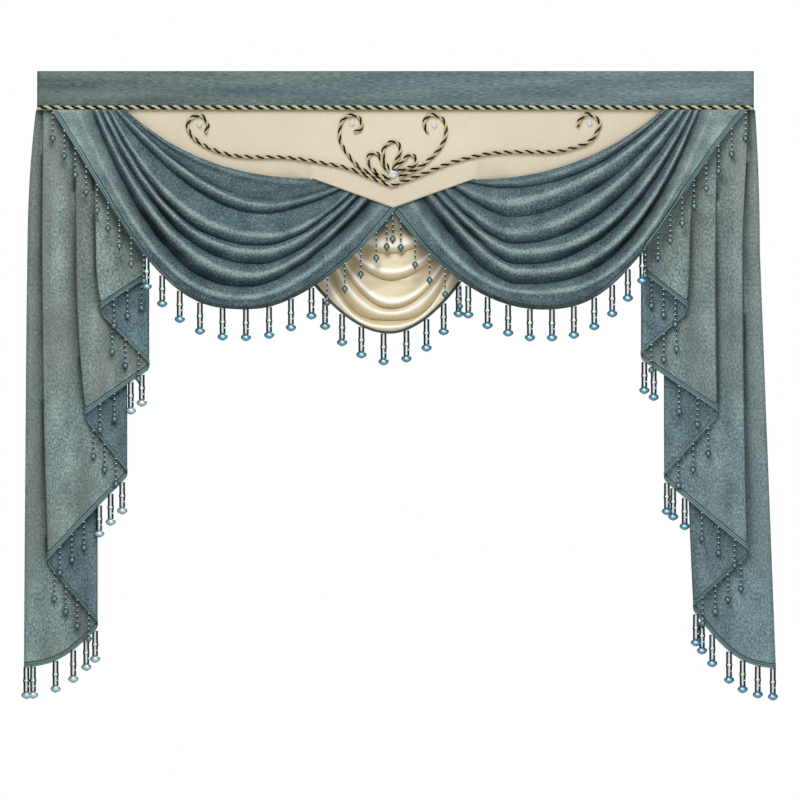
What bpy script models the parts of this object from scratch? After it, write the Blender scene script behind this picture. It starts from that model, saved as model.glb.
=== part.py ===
"""Curtain valance: heading band, cream panel, two swags, a centre swag and two tails, with bead fringe.

Sizes are in millimetres. X runs along the heading, Z up and Y from the front to the back. The origin is the
middle of the heading's top edge, on its back face. A stand is a distance in front of that face, so it is a
negative Y.
"""

import math
from collections import namedtuple

import bmesh
import bpy
from mathutils import Matrix, Vector

MM = 0.001

# Heading band and the rope along its lower edge
BAND_WIDTH = 1792
BAND_HEIGHT = 97
BAND_THICKNESS = 4
SEAM_GAP = 0.3
SEAM_Z = -BAND_HEIGHT - SEAM_GAP
ROPE_RADIUS = 5.5
ROPE_SIDES = 8
ROPE_Z = -91.5

# Cloth
CLOTH = 2.0
TAIL_CLOTH = 1.6
TAPE_WIDTH = 10
TAPE_GAP = 0.8
TAIL_TAPE_GAP = 1.6
LEAST_SLANT = 0.45
TAPE_SHARE = 0.7

# Cream panel: its point hangs in front of the swags' inner ends
POINT_X = -6
POINT_Z = -342
SHOULDER_X = {-1: -204, 1: 196}
SHOULDER_Z = -270
PANEL_END_X = {-1: -691, 1: 685}
PANEL_STAND = 2
POINT_STAND = 19.4
POINT_FLAT = 180
POINT_FADE = 110
PANEL_LAP = 22
PANEL_LAP_START = 25
PANEL_LAP_RUN = 60
PANEL_CLEAR = 1.5
WIDE_STEP = 48
CLOSE_STEP = 14
PANEL_ROWS = 8

# Swags: how far an inner end is tucked behind the panel's edge, at the shoulder and at the point
TUCK_SHOULDER = 18
TUCK_POINT = 6
EMERGE = 4
EMERGE_RUN = 120
FALL_RUN = 350
HALVINGS = 20
LEAST_EMERGE = 0.6
FINE_STEPS = 60
SWAG_OUTER_COLUMNS = 12
SWAG_INNER_COLUMNS = 9

# One row for each fold line of a swag, from its top edge to its hem. It leaves the heading at outer_x, is
# lowest at low_x, low_z, and ends behind the panel's edge at inner_x. The bows say how round each half hangs.
Fold = namedtuple(
    "Fold", "name outer_x low_x low_z inner_x bow_start bow_end inner_bow end_stand stand"
)

LEFT_FOLDS = [
    Fold("top edge", -674, -204, -269, -179, 2.5, 2.2, 1.6, 14, 28),
    Fold("top roll", -678, -219, -278, -169, 2.4, 2.1, 1.6, 16, 40),
    Fold("first hollow", -682, -251, -297, -156, 2.1, 2.0, 1.6, 13, 32),
    Fold("crease above fold 2", -688, -309, -325, -136, 1.8, 1.8, 1.6, 12, 28),
    Fold("fold 2", -695, -321, -336, -126, 1.6, 1.75, 1.6, 17, 48),
    Fold("crease under fold 2", -702, -334, -355, -119, 1.8, 1.8, 1.6, 12, 38),
    Fold("second hollow", -708, -319, -382, -113, 2.1, 2.0, 1.7, 13, 40),
    Fold("fold 3", -714, -309, -412, -107, 2.5, 2.3, 1.7, 17, 58),
    Fold("crease under fold 3", -722, -329, -435, -99, 2.4, 2.5, 1.7, 12, 42),
    Fold("fold 4", -730, -334, -451, -91, 2.3, 2.3, 1.7, 17, 60),
    Fold("crease under fold 4", -739, -344, -482, -82, 2.3, 2.2, 1.7, 12, 44),
    Fold("fold 5", -748, -359, -512, -69, 2.2, 1.9, 1.65, 17, 68),
    Fold("crease under fold 5", -758, -374, -540, -56, 2.3, 2.2, 1.6, 12, 50),
    Fold("bottom roll", -796, -364, -568, -34, 2.2, 2.5, 1.6, 17, 76),
    Fold("under the roll", -829, -366, -585, -22, 1.9, 2.5, 1.7, 15, 74),
    Fold("hem", -860, -369, -596, -9, 1.5, 2.6, 1.8, 14, 62),
]

RIGHT_FOLDS = [
    Fold("top edge", 668, 200, -271, 174, 2.3, 2.1, 1.5, 14, 28),
    Fold("top roll", 673, 230, -281, 166, 2.2, 2.1, 1.5, 16, 40),
    Fold("crease under top roll", 680, 273, -292, 151, 2.1, 2.1, 1.5, 12, 27),
    Fold("fold 2", 696, 274, -330, 139, 1.9, 1.6, 1.5, 17, 50),
    Fold("crease under fold 2", 708, 286, -365, 129, 2.1, 1.8, 1.45, 12, 36),
    Fold("fold 3", 718, 286, -405, 116, 1.9, 1.9, 1.4, 17, 58),
    Fold("crease under fold 3", 729, 281, -430, 108, 2.2, 2.3, 1.4, 12, 40),
    Fold("fold 4", 738, 296, -451, 97, 2.4, 2.7, 1.4, 17, 62),
    Fold("crease under fold 4", 746, 296, -484, 88, 2.4, 2.4, 1.35, 12, 44),
    Fold("fold 5", 753, 301, -501, 80, 2.8, 2.9, 1.35, 17, 68),
    Fold("crease under fold 5", 761, 306, -532, 66, 2.7, 2.8, 1.6, 12, 50),
    Fold("bottom roll", 791, 336, -554, 46, 2.5, 2.8, 2.1, 17, 76),
    Fold("under the roll", 826, 355, -574, 26, 1.9, 2.55, 2.1, 15, 76),
    Fold("hem", 879, 374, -597, 4, 1.1, 2.25, 2.05, 14, 62),
]

# Centre swag, one row for each fold line: both ends lie hidden behind the blue swags
CentreFold = namedtuple(
    "CentreFold", "name left_x left_z low_x low_z right_x right_z bow end_stand stand"
)

CENTRE_FOLDS = [
    CentreFold("top edge", -109, -287, -6, -295, 96, -287, 2.0, 9.6, 9.6),
    CentreFold("first crease", -112, -335, -6, -378, 100, -335, 2.0, 6, 3),
    CentreFold("fold 1", -118, -362, -6, -445, 104, -362, 2.0, 5, 9),
    CentreFold("second crease", -126, -382, -4, -472, 108, -382, 2.0, 4, 6),
    CentreFold("fold 2", -134, -400, 1, -508, 113, -400, 2.0, 4, 20),
    CentreFold("third crease", -142, -416, 1, -538, 118, -418, 2.0, 4, 13),
    CentreFold("fold 3", -150, -430, -11, -580, 123, -434, 2.0, 4, 27),
    CentreFold("fourth crease", -158, -442, -11, -595, 128, -448, 2.2, 4, 18),
    CentreFold("fold 4", -166, -454, -14, -612, 133, -460, 2.4, 4, 29),
    CentreFold("fifth crease", -173, -465, -16, -628, 138, -470, 2.3, 4, 20),
    CentreFold("fold 5", -181, -477, -22, -642, 144, -482, 2.1, 4, 31),
    CentreFold("hem", -222, -512, -16, -656, 182, -502, 1.9, 4, 22),
]
CENTRE_HALF_COLUMNS = 9

# Cascade tails: one row for each edge of the folded layers, from the short inner edge in front to the long
# outer edge at the back. An edge stands at top_x under the heading, at mid_x from FLARE_RUN down, and at
# hem_x at its hem. A larger flare keeps its spread for the hem, and with an early of 1 it swings out at once
# under the heading.
TailEdge = namedtuple("TailEdge", "name top_x mid_x hem_x hem_z flare early", defaults=(2, 0))

LEFT_TAIL = [
    TailEdge("inner free edge", -714, -619, -619, -515),
    TailEdge("first outer fold", -756, -750, -735, -602),
    TailEdge("first inner fold", -706, -616, -616, -737),
    TailEdge("second outer fold", -801, -799, -774, -867),
    TailEdge("second inner fold", -729, -671, -671, -1007),
    TailEdge("third outer fold", -881, -884, -869, -1228),
    TailEdge("third inner fold", -761, -745, -745, -1385),
    TailEdge("outer free edge", -899, -920, -929, -1490, 0.7, 1),
]

RIGHT_TAIL = [
    TailEdge("inner free edge", 716, 626, 626, -510),
    TailEdge("first outer fold", 756, 736, 728, -598),
    TailEdge("first inner fold", 711, 614, 614, -712),
    TailEdge("second outer fold", 804, 801, 805, -858),
    TailEdge("second inner fold", 731, 671, 672, -1015),
    TailEdge("third outer fold", 881, 869, 881, -1205),
    TailEdge("third inner fold", 761, 722, 745, -1343),
    TailEdge("outer free edge", 899, 911, 951, -1493, 1, 1),
]
FLARE_RUN = 350
LAYER_PITCH_TOP = 2.6
LAYER_PITCH_LOW = 9.0
PITCH_RUN = 500
FOLD_DROP = 12
FOLD_STEPS = 4
LAYER_STEPS = 3
LAST_LAYER_BOW = {-1: 25, 1: 38}
RIPPLE = 2.2
RIPPLE_LENGTH = 95
RIPPLE_RUN = 260
TAIL_ROWS = 8

# Bead drops: rings down a drop, at a share of its length. A free drop hangs below the cloth, a slim one over
# it.
Ring = namedtuple("Ring", "share radius")
DROP_LENGTH = 80
FREE_DROP = [
    Ring(0.02, 0.6), Ring(0.08, 5.0), Ring(0.50, 8.5), Ring(0.76, 5.5), Ring(0.88, 13.0),
    Ring(1.0, 5.0),
]
SLIM_DROP = [Ring(0.02, 0.6), Ring(0.80, 1.8), Ring(0.91, 5.5), Ring(1.0, 1.5)]
DROP_SIDES = 3
DROP_ROOT = 3
DROP_ROOT_RADIUS = 0.5

# Number of drops on each stretch of a swag's hem, and where the bottom stretch starts and ends, as X
HemDrops = namedtuple("HemDrops", "outer_drops bottom_from bottom_drops bottom_to inner_drops")
LEFT_HEM_DROPS = HemDrops(8, -622, 9, -210, 6)
RIGHT_HEM_DROPS = HemDrops(8, 617, 10, 182, 6)
CENTRE_DROPS = 8
CENTRE_DROP_FROM = -176
CENTRE_DROP_TO = 158

# For each layer of a tail, where its drops hang as shares of the layer's hem
LayerDrops = namedtuple("LayerDrops", "free over_cloth")
TAIL_DROPS = [
    LayerDrops((), (0.14, 0.44, 0.74)),
    LayerDrops((), (0.2, 0.5, 0.8)),
    LayerDrops((0.09, 0.24), (0.54, 0.78)),
    LayerDrops((), (0.15, 0.45, 0.75)),
    LayerDrops((0.05, 0.17, 0.29), (0.5, 0.68, 0.86)),
    LayerDrops((), (0.1, 0.35, 0.6, 0.85)),
    LayerDrops((0.06, 0.22, 0.38, 0.54, 0.74, 0.93), ()),
]

# Scroll ropes laid on the cream panel, as X, Z of the points that a smooth curve passes
SCROLL_RADIUS = 4.3
SCROLL_STEP = 12
SCROLL_TURN = math.radians(40)
OUTER_SCROLL = [
    (-476, -155), (-469, -133), (-484, -112), (-507, -115), (-520, -135), (-506, -165), (-466, -192),
    (-409, -210), (-351, -215), (-294, -215), (-236, -220), (-180, -230), (-122, -242), (-64, -265),
    (-14, -285), (9, -280), (61, -260), (109, -240), (151, -225), (229, -207), (309, -202), (394, -202),
    (444, -192), (486, -175), (506, -147), (509, -125), (481, -107), (461, -122), (454, -140),
]
LEFT_SCROLL = [
    (-104, -152), (-89, -147), (-84, -132), (-96, -112), (-119, -112), (-134, -125), (-139, -145),
    (-139, -172), (-128, -195), (-114, -215), (-99, -232), (-80, -246),
]
RIGHT_SCROLL = [
    (81, -155), (73, -139), (74, -120), (92, -109), (118, -120), (126, -141), (124, -166), (114, -188),
    (101, -205), (84, -222), (62, -239),
]
CLOVER = [
    (-35, -262), (-60, -240), (-69, -222), (-56, -206), (-42, -212), (-35, -225), (-26, -232),
    (-20, -223), (-26, -205), (-28, -187), (-8, -172), (12, -187), (10, -205), (4, -223), (10, -232),
    (19, -225), (26, -212), (40, -206), (54, -222), (45, -240), (20, -260),
]
SPLINE_STEPS = 8

Button = namedtuple("Button", "name x z radius")
BUTTONS = [
    Button("button_outer_left", -490, -134, 8),
    Button("button_inner_left", -109, -130, 8),
    Button("button_inner_right", 97, -135, 8),
    Button("button_outer_right", 485, -130, 8),
    Button("button_centre", -7, -254, 11),
]
BUTTON_HEIGHT = 7
BUTTON_SIDES = 10

# Colour, roughness and metallic value of each finish
Finish = namedtuple("Finish", "color roughness metallic")
CHENILLE = Finish((0.075, 0.125, 0.155), 0.9, 0.0)
TAIL_CHENILLE = Finish((0.10, 0.145, 0.15), 0.9, 0.0)
BAND_CHENILLE = Finish((0.105, 0.16, 0.185), 0.9, 0.0)
LINEN = Finish((0.72, 0.65, 0.50), 0.85, 0.0)
SATIN = Finish((0.75, 0.62, 0.38), 0.35, 0.0)
ROPE = Finish((0.45, 0.40, 0.16), 0.55, 0.0)
BEADS = Finish((0.12, 0.36, 0.48), 0.12, 0.0)
CRYSTAL = Finish((0.9, 0.9, 0.92), 0.05, 0.0)


def smooth(t):
    """A soft step from 0 to 1."""
    t = min(1.0, max(0.0, t))
    return t * t * (3 - 2 * t)


def mix(a, b, t):
    return a + (b - a) * t


def distances(points):
    """The distance along a line to each of its points."""
    total = [0.0]
    for a, b in zip(points, points[1:]):
        total.append(total[-1] + (b - a).length)
    return total


def even_points(line, count):
    """Points that divide a line into a count of equal lengths."""
    total = distances(line)
    points = []
    for k in range(count + 1):
        wanted = total[-1] * k / count
        i = max(0, min(len(line) - 2, sum(1 for d in total if d <= wanted) - 1))
        points.append(line[i].lerp(line[i + 1], (wanted - total[i]) / (total[i + 1] - total[i])))
    return points


def clear_scene():
    for obj in list(bpy.data.objects):
        bpy.data.objects.remove(obj, do_unlink=True)


def material_for(name, finish):
    material = bpy.data.materials.new(name)
    material.use_nodes = True
    shader = material.node_tree.nodes["Principled BSDF"]
    shader.inputs["Base Color"].default_value = (*finish.color, 1.0)
    shader.inputs["Roughness"].default_value = finish.roughness
    shader.inputs["Metallic"].default_value = finish.metallic
    return material


def object_from(name, bm, finish):
    """A named object from a bmesh in millimetres."""
    bmesh.ops.scale(bm, vec=(MM, MM, MM), verts=bm.verts)
    mesh = bpy.data.meshes.new(name)
    bm.to_mesh(mesh)
    bm.free()
    obj = bpy.data.objects.new(name, mesh)
    bpy.context.scene.collection.objects.link(obj)
    mesh.materials.append(material_for(name, finish))
    return obj


def sheet(name, grid, thickness, finish):
    """A sheet of cloth whose middle surface passes through a grid of points."""
    bm = bmesh.new()
    rows = [[bm.verts.new(point) for point in row] for row in grid]
    for upper, lower in zip(rows, rows[1:]):
        for i in range(len(upper) - 1):
            bm.faces.new((upper[i], upper[i + 1], lower[i + 1], lower[i]))
    obj = object_from(name, bm, finish)
    solidify = obj.modifiers.new("cloth thickness", "SOLIDIFY")
    solidify.thickness = thickness * MM
    solidify.offset = 0.0
    return obj


def part_hem(grid, width=TAPE_WIDTH, gap=TAPE_GAP):
    """The cloth without its hem tape, and the tape, parted from it by a small gap."""
    hem_line = grid[-1]
    cloth_edge, tape_top = [], []
    for i, (before, hem) in enumerate(zip(grid[-2], hem_line)):
        down = (hem - before).normalized()
        along = (hem_line[min(i + 1, len(hem_line) - 1)] - hem_line[max(i - 1, 0)]).normalized()
        slant = max(down.cross(along).length, LEAST_SLANT)
        room = TAPE_SHARE * (hem - before).length
        tape_top.append(hem - down * min(width / slant, room - gap))
        cloth_edge.append(hem - down * min((width + gap) / slant, room))
    return grid[:-1] + [cloth_edge], [tape_top, list(hem_line)]


# Heading band and rope


def build_band():
    bm = bmesh.new()
    bmesh.ops.create_cube(bm, size=1.0)
    bmesh.ops.scale(bm, vec=(BAND_WIDTH, BAND_THICKNESS, BAND_HEIGHT), verts=bm.verts)
    bmesh.ops.translate(bm, vec=(0, -BAND_THICKNESS / 2, -BAND_HEIGHT / 2), verts=bm.verts)
    return object_from("header_band", bm, BAND_CHENILLE)


def build_band_rope():
    bm = bmesh.new()
    bmesh.ops.create_cone(
        bm, cap_ends=True, segments=ROPE_SIDES, radius1=ROPE_RADIUS, radius2=ROPE_RADIUS, depth=BAND_WIDTH
    )
    bmesh.ops.rotate(bm, matrix=Matrix.Rotation(math.radians(90), 3, "Y"), verts=bm.verts)
    rope_y = -BAND_THICKNESS - SEAM_GAP - ROPE_RADIUS
    bmesh.ops.translate(bm, vec=(0, rope_y, ROPE_Z), verts=bm.verts)
    return object_from("header_rope", bm, ROPE)


# Cream panel


def side_of(x):
    return -1 if x < POINT_X else 1


def point_edge_z(x):
    """The height of the panel's slanted lower edge, also past its shoulders."""
    side = side_of(x)
    slope = (POINT_Z - SHOULDER_Z) / (POINT_X - SHOULDER_X[side])
    return POINT_Z + slope * (x - POINT_X)


def panel_stand(x, z):
    """How far the panel stands forward: flat at the heading, further where its point covers the swags' ends."""
    sideways = 1 - smooth((abs(x - POINT_X) - POINT_FLAT) / POINT_FADE)
    downwards = smooth((SEAM_Z - z) / 150)
    return PANEL_STAND + (POINT_STAND - PANEL_STAND) * sideways * downwards


def panel_edge_z(x):
    """The panel's lower edge: the slants to the point, then lapped behind the swags' top edges."""
    side = side_of(x)
    past_shoulder = (x - SHOULDER_X[side]) * side
    if past_shoulder <= 0:
        return point_edge_z(x)
    fold = (LEFT_FOLDS if side < 0 else RIGHT_FOLDS)[0]
    lap = PANEL_LAP * smooth((past_shoulder - PANEL_LAP_START) / PANEL_LAP_RUN)
    above = mix(SHOULDER_Z, fold_height(fold, x) + PANEL_CLEAR, smooth(past_shoulder / 10))
    return above - lap


def panel_columns():
    """Stations across the panel, closer together where it comes forward beside its shoulders."""
    columns = [PANEL_END_X[-1]]
    flat, faded = POINT_FLAT, POINT_FLAT + POINT_FADE
    ends = [
        (POINT_X - faded, WIDE_STEP), (SHOULDER_X[-1], CLOSE_STEP), (POINT_X - flat, CLOSE_STEP),
        (POINT_X, WIDE_STEP), (POINT_X + flat, WIDE_STEP), (SHOULDER_X[1], CLOSE_STEP),
        (POINT_X + faded, CLOSE_STEP), (PANEL_END_X[1], WIDE_STEP),
    ]
    for end, step in ends:
        start = columns[-1]
        count = max(1, round((end - start) / step))
        columns += [mix(start, end, i / count) for i in range(1, count + 1)]
    return columns


def build_panel():
    columns = panel_columns()
    grid = []
    for row in range(PANEL_ROWS + 1):
        share = row / PANEL_ROWS
        heights = [mix(SEAM_Z, panel_edge_z(x), share) for x in columns]
        grid.append([Vector((x, -panel_stand(x, z), z)) for x, z in zip(columns, heights)])
    return sheet("cream_panel", grid, CLOTH, LINEN)


# Swags


def fold_height(fold, x):
    """The height of a fold line's outer half at X."""
    t = min(1.0, max(0.0, (x - fold.outer_x) / (fold.low_x - fold.outer_x)))
    bow = mix(fold.bow_start, fold.bow_end, t)
    return mix(SEAM_Z, fold.low_z, 1 - (1 - t) ** bow)


def inner_end_z(x):
    """The height of a swag's inner end, tucked behind the panel's slanted edge."""
    shoulder = SHOULDER_X[side_of(x)]
    toward_point = (x - shoulder) / (POINT_X - shoulder)
    return point_edge_z(x) + mix(TUCK_SHOULDER, TUCK_POINT, min(1.0, max(0.0, toward_point)))


def swag_stand(fold, x, z):
    """A fold's stand: flat at the heading and behind the panel's edge, full in the belly between them."""
    fallen = smooth((SEAM_Z - z) / FALL_RUN)
    emerged = smooth((point_edge_z(x) - z - EMERGE) / EMERGE_RUN)
    return mix(fold.end_stand, fold.stand, fallen * emerged)


def inner_half(fold, t):
    """A point on a fold line's inner half, as X and Z, from its lowest point to its tucked end."""
    end_z = inner_end_z(fold.inner_x)
    return mix(fold.low_x, fold.inner_x, t), mix(fold.low_z, end_z, t**fold.inner_bow)


def emerge_share(fold):
    """How far along its inner half a fold line goes behind the panel's edge, by halving the stretch."""
    low, high = 0.0, 1.0
    for _ in range(HALVINGS):
        middle = (low + high) / 2
        x, z = inner_half(fold, middle)
        if z < point_edge_z(x) - EMERGE:
            low = middle
        else:
            high = middle
    return high


def fold_line(fold):
    xs = [mix(fold.outer_x, fold.low_x, i / FINE_STEPS) for i in range(FINE_STEPS + 1)]
    outer = even_points([Vector((x, 0, fold_height(fold, x))) for x in xs], SWAG_OUTER_COLUMNS)
    points = [(point.x, point.z) for point in outer[:-1]]
    emerge = max(emerge_share(fold), LEAST_EMERGE)
    for i in range(SWAG_INNER_COLUMNS):
        points.append(inner_half(fold, emerge * i / (SWAG_INNER_COLUMNS - 1)))
    points.append(inner_half(fold, 1.0))
    return [Vector((x, -swag_stand(fold, x, z), z)) for x, z in points]


def build_swag(side_name, folds, hem_drops):
    cloth, tape = part_hem([fold_line(fold) for fold in folds])
    sheet(f"swag_{side_name}", cloth, CLOTH, CHENILLE)
    drops = swag_drops(tape, hem_drops)
    return fringe(f"fringe_swag_{side_name}", tape, CLOTH, drops)


def centre_line(fold):
    points = []
    for half in (-1, 1):
        end_x, end_z = (fold.left_x, fold.left_z) if half < 0 else (fold.right_x, fold.right_z)
        steps = range(CENTRE_HALF_COLUMNS, 0, -1) if half < 0 else range(CENTRE_HALF_COLUMNS + 1)
        for i in steps:
            t = i / CENTRE_HALF_COLUMNS
            z = mix(fold.low_z, end_z, t**fold.bow)
            stand = mix(fold.stand, fold.end_stand, smooth(t))
            points.append(Vector((mix(fold.low_x, end_x, t), -stand, z)))
    return points


def build_centre_swag():
    cloth, tape = part_hem([centre_line(fold) for fold in CENTRE_FOLDS])
    sheet("swag_centre", cloth, CLOTH, SATIN)
    hem = tape[1]
    start, end = (distance_at_x(hem, x) for x in (CENTRE_DROP_FROM, CENTRE_DROP_TO))
    drops = [(distance, FREE_DROP) for distance in spread(start, end, CENTRE_DROPS)]
    return fringe("fringe_centre", tape, CLOTH, drops)


# Cascade tails


def edge_x(edge, z):
    """Where a tail's fold or free edge stands at a height."""
    fallen = SEAM_Z - z
    if fallen <= FLARE_RUN:
        share = max(0.0, fallen / FLARE_RUN)
        return mix(edge.top_x, edge.mid_x, mix(smooth(share), 1 - (1 - share) ** 2, edge.early))
    below = min(1.0, (fallen - FLARE_RUN) / (SEAM_Z - edge.hem_z - FLARE_RUN))
    return mix(edge.mid_x, edge.hem_x, below**edge.flare)


def layer_pitch(z):
    return mix(LAYER_PITCH_TOP, LAYER_PITCH_LOW, smooth((SEAM_Z - z) / PITCH_RUN))


def tail_stations(edges, side):
    """Stations along the folded cloth: (layer, share across the layer, turn through a fold, hem height)."""
    stations = []
    for layer, (start, end) in enumerate(zip(edges, edges[1:])):
        first, last = layer == 0, layer == len(edges) - 2
        z_start = start.hem_z - (0 if first else FOLD_DROP)
        z_end = end.hem_z + (0 if last else FOLD_DROP)
        bow = LAST_LAYER_BOW[side] if last else 0
        for i in range(LAYER_STEPS + 1):
            share = i / LAYER_STEPS
            hem_z = mix(z_start, z_end, share) - bow * math.sin(math.pi * share)
            stations.append((layer, share, None, hem_z))
        for i in range(1, FOLD_STEPS if not last else 0):
            turn = i / FOLD_STEPS
            stations.append((layer, 1.0, turn, mix(z_end, end.hem_z - FOLD_DROP, turn)))
    return stations


def tail_point(edges, station, share_down):
    layer, share, turn, hem_z = station
    z = mix(SEAM_Z, hem_z, share_down)
    pitch = layer_pitch(z)
    radius = pitch / 2
    middle = (len(edges) - 2) / 2
    start, end = edge_x(edges[layer], z), edge_x(edges[layer + 1], z)
    across = math.copysign(1, end - start)
    start_inset = radius if layer > 0 else 0
    end_inset = radius if layer < len(edges) - 2 else 0
    x = mix(start + across * start_inset, end - across * end_inset, share)
    y = (layer - middle) * pitch
    if turn is not None:
        x += across * radius * math.sin(math.pi * turn)
        y += radius * (1 - math.cos(math.pi * turn))
    ripple = RIPPLE * smooth((SEAM_Z - z) / RIPPLE_RUN) * math.sin(math.tau * x / RIPPLE_LENGTH)
    return Vector((x, y + ripple, z))


def build_tail(side_name, side, edges):
    stations = tail_stations(edges, side)
    grid = []
    for row in range(TAIL_ROWS + 1):
        grid.append([tail_point(edges, station, row / TAIL_ROWS) for station in stations])
    cloth, tape = part_hem(grid, gap=TAIL_TAPE_GAP)
    sheet(f"tail_{side_name}", cloth, TAIL_CLOTH, TAIL_CHENILLE)
    return fringe(f"fringe_tail_{side_name}", tape, TAIL_CLOTH, tail_drops(tape, stations))


# Bead fringe: a tape with its drops fused to it


def distance_at_x(points, x):
    """The distance along a line at which it first passes X."""
    total = distances(points)
    for i in range(len(points) - 1):
        a, b = points[i].x, points[i + 1].x
        if min(a, b) <= x <= max(a, b):
            return mix(total[i], total[i + 1], (x - a) / (b - a))
    return total[-1]


def point_at(tape, distance):
    """The hem point at a distance along the tape's lower edge, and the way up the tape from it."""
    top, hem = tape
    total = distances(hem)
    i = max(0, min(len(hem) - 2, sum(1 for d in total if d <= distance) - 1))
    t = (distance - total[i]) / (total[i + 1] - total[i])
    point = hem[i].lerp(hem[i + 1], t)
    return point, (top[i].lerp(top[i + 1], t) - point).normalized()


def spread(start, end, count):
    """Distances of evenly spaced drops from start to end, both included."""
    return [mix(start, end, i / (count - 1)) for i in range(count)]


def swag_drops(tape, plan):
    hem = tape[1]
    start, end = distance_at_x(hem, plan.bottom_from), distance_at_x(hem, plan.bottom_to)
    last = distances(hem)[-1]
    outer_pitch = start / (plan.outer_drops + 0.5)
    inner_pitch = (last - end) / (plan.inner_drops + 0.5)
    drops = [(outer_pitch * (i + 0.5), SLIM_DROP) for i in range(plan.outer_drops)]
    drops += [(distance, FREE_DROP) for distance in spread(start, end, plan.bottom_drops)]
    drops += [(end + inner_pitch * (i + 1), SLIM_DROP) for i in range(plan.inner_drops)]
    return drops


def tail_drops(tape, stations):
    total = distances(tape[1])
    drops = []
    for layer, plan in enumerate(TAIL_DROPS):
        along = [total[i] for i, (at, _, turn, _) in enumerate(stations) if at == layer and turn is None]
        drops += [(mix(along[0], along[-1], share), FREE_DROP) for share in plan.free]
        drops += [(mix(along[0], along[-1], share), SLIM_DROP) for share in plan.over_cloth]
    return drops


def add_drop(bm, hem_point, up, rings):
    """A closed drop whose root lies inside the tape."""
    centres = [(hem_point + up * DROP_ROOT, DROP_ROOT_RADIUS)]
    centres += [(hem_point - Vector((0, 0, ring.share * DROP_LENGTH)), ring.radius) for ring in rings]
    loops = []
    for centre, radius in centres:
        angles = [math.radians(-90) + math.tau * i / DROP_SIDES for i in range(DROP_SIDES)]
        loops.append([bm.verts.new(centre + radius * Vector((math.cos(a), math.sin(a), 0))) for a in angles])
    for upper, lower in zip(loops, loops[1:]):
        for i in range(DROP_SIDES):
            j = (i + 1) % DROP_SIDES
            bm.faces.new((upper[i], lower[i], lower[j], upper[j]))
    bm.faces.new(loops[0])
    bm.faces.new(reversed(loops[-1]))


def fringe(name, tape, thickness, drops):
    """The hem tape as a thin strip, with its bead drops joined to it."""
    strip = sheet(name, tape, thickness, BEADS)
    bm = bmesh.new()
    for distance, rings in drops:
        add_drop(bm, *point_at(tape, distance), rings)
    bmesh.ops.recalc_face_normals(bm, faces=bm.faces)
    beads = object_from(name + "_drops", bm, BEADS)
    beads.hide_render = True
    beads.display_type = "WIRE"
    join = strip.modifiers.new("drops", "BOOLEAN")
    join.operation = "UNION"
    join.solver = "EXACT"
    join.use_self = True
    join.object = beads
    return strip


# Scroll ropes and buttons on the panel


def on_panel(x, z, height):
    return Vector((x, -panel_stand(x, z) - CLOTH / 2 - height, z))


def curve_at(a, b, c, d, t):
    """A Catmull-Rom curve's value between b and c."""
    square = 2 * a - 5 * b + 4 * c - d
    cube = 3 * b - a - 3 * c + d
    return 0.5 * (2 * b + (c - a) * t + square * t**2 + cube * t**3)


def smooth_route(points, step):
    """Points at even steps along a Catmull-Rom curve through the given X, Z points."""
    padded = [points[0], *points, points[-1]]
    fine = []
    for p0, p1, p2, p3 in zip(padded, padded[1:], padded[2:], padded[3:]):
        for i in range(SPLINE_STEPS):
            fine.append([curve_at(*values, i / SPLINE_STEPS) for values in zip(p0, p1, p2, p3)])
    fine.append(points[-1])
    line = [on_panel(x, z, SEAM_GAP + SCROLL_RADIUS) for x, z in fine]
    return even_points(line, round(distances(line)[-1] / step))


def twisted_rope(name, points):
    """A rope laid along a route: a square section that turns as it goes, so its twist is raised."""
    route = smooth_route(points, SCROLL_STEP)
    bm = bmesh.new()
    loops = []
    for k, centre in enumerate(route):
        ahead = (route[min(k + 1, len(route) - 1)] - route[max(k - 1, 0)]).normalized()
        front = (Vector((0, -1, 0)) - ahead * ahead.dot(Vector((0, -1, 0)))).normalized()
        across = ahead.cross(front)
        turn = SCROLL_TURN * k
        corners = [turn + math.tau * i / 4 for i in range(4)]
        sides = [math.cos(a) * front + math.sin(a) * across for a in corners]
        loops.append([bm.verts.new(centre + SCROLL_RADIUS * way) for way in sides])
    for near, far in zip(loops, loops[1:]):
        for i in range(4):
            j = (i + 1) % 4
            bm.faces.new((near[i], near[j], far[j], far[i]))
    bm.faces.new(reversed(loops[0]))
    bm.faces.new(loops[-1])
    bmesh.ops.triangulate(bm, faces=bm.faces)
    bmesh.ops.recalc_face_normals(bm, faces=bm.faces)
    return object_from(name, bm, ROPE)


def build_button(button):
    """A low cut-glass dome, seated on the panel's slope."""
    step = 1.0
    lower, upper = (panel_stand(button.x, button.z + way * step) for way in (-1, 1))
    slope = (lower - upper) / (2 * step)
    bm = bmesh.new()
    bmesh.ops.create_cone(
        bm, cap_ends=True, segments=BUTTON_SIDES, radius1=button.radius, radius2=button.radius * 0.5,
        depth=BUTTON_HEIGHT,
    )
    bmesh.ops.translate(bm, vec=(0, 0, BUTTON_HEIGHT / 2), verts=bm.verts)
    bmesh.ops.rotate(bm, matrix=Matrix.Rotation(math.radians(90) - math.atan(slope), 3, "X"), verts=bm.verts)
    bmesh.ops.translate(bm, vec=on_panel(button.x, button.z, SEAM_GAP), verts=bm.verts)
    return object_from(button.name, bm, CRYSTAL)


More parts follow.
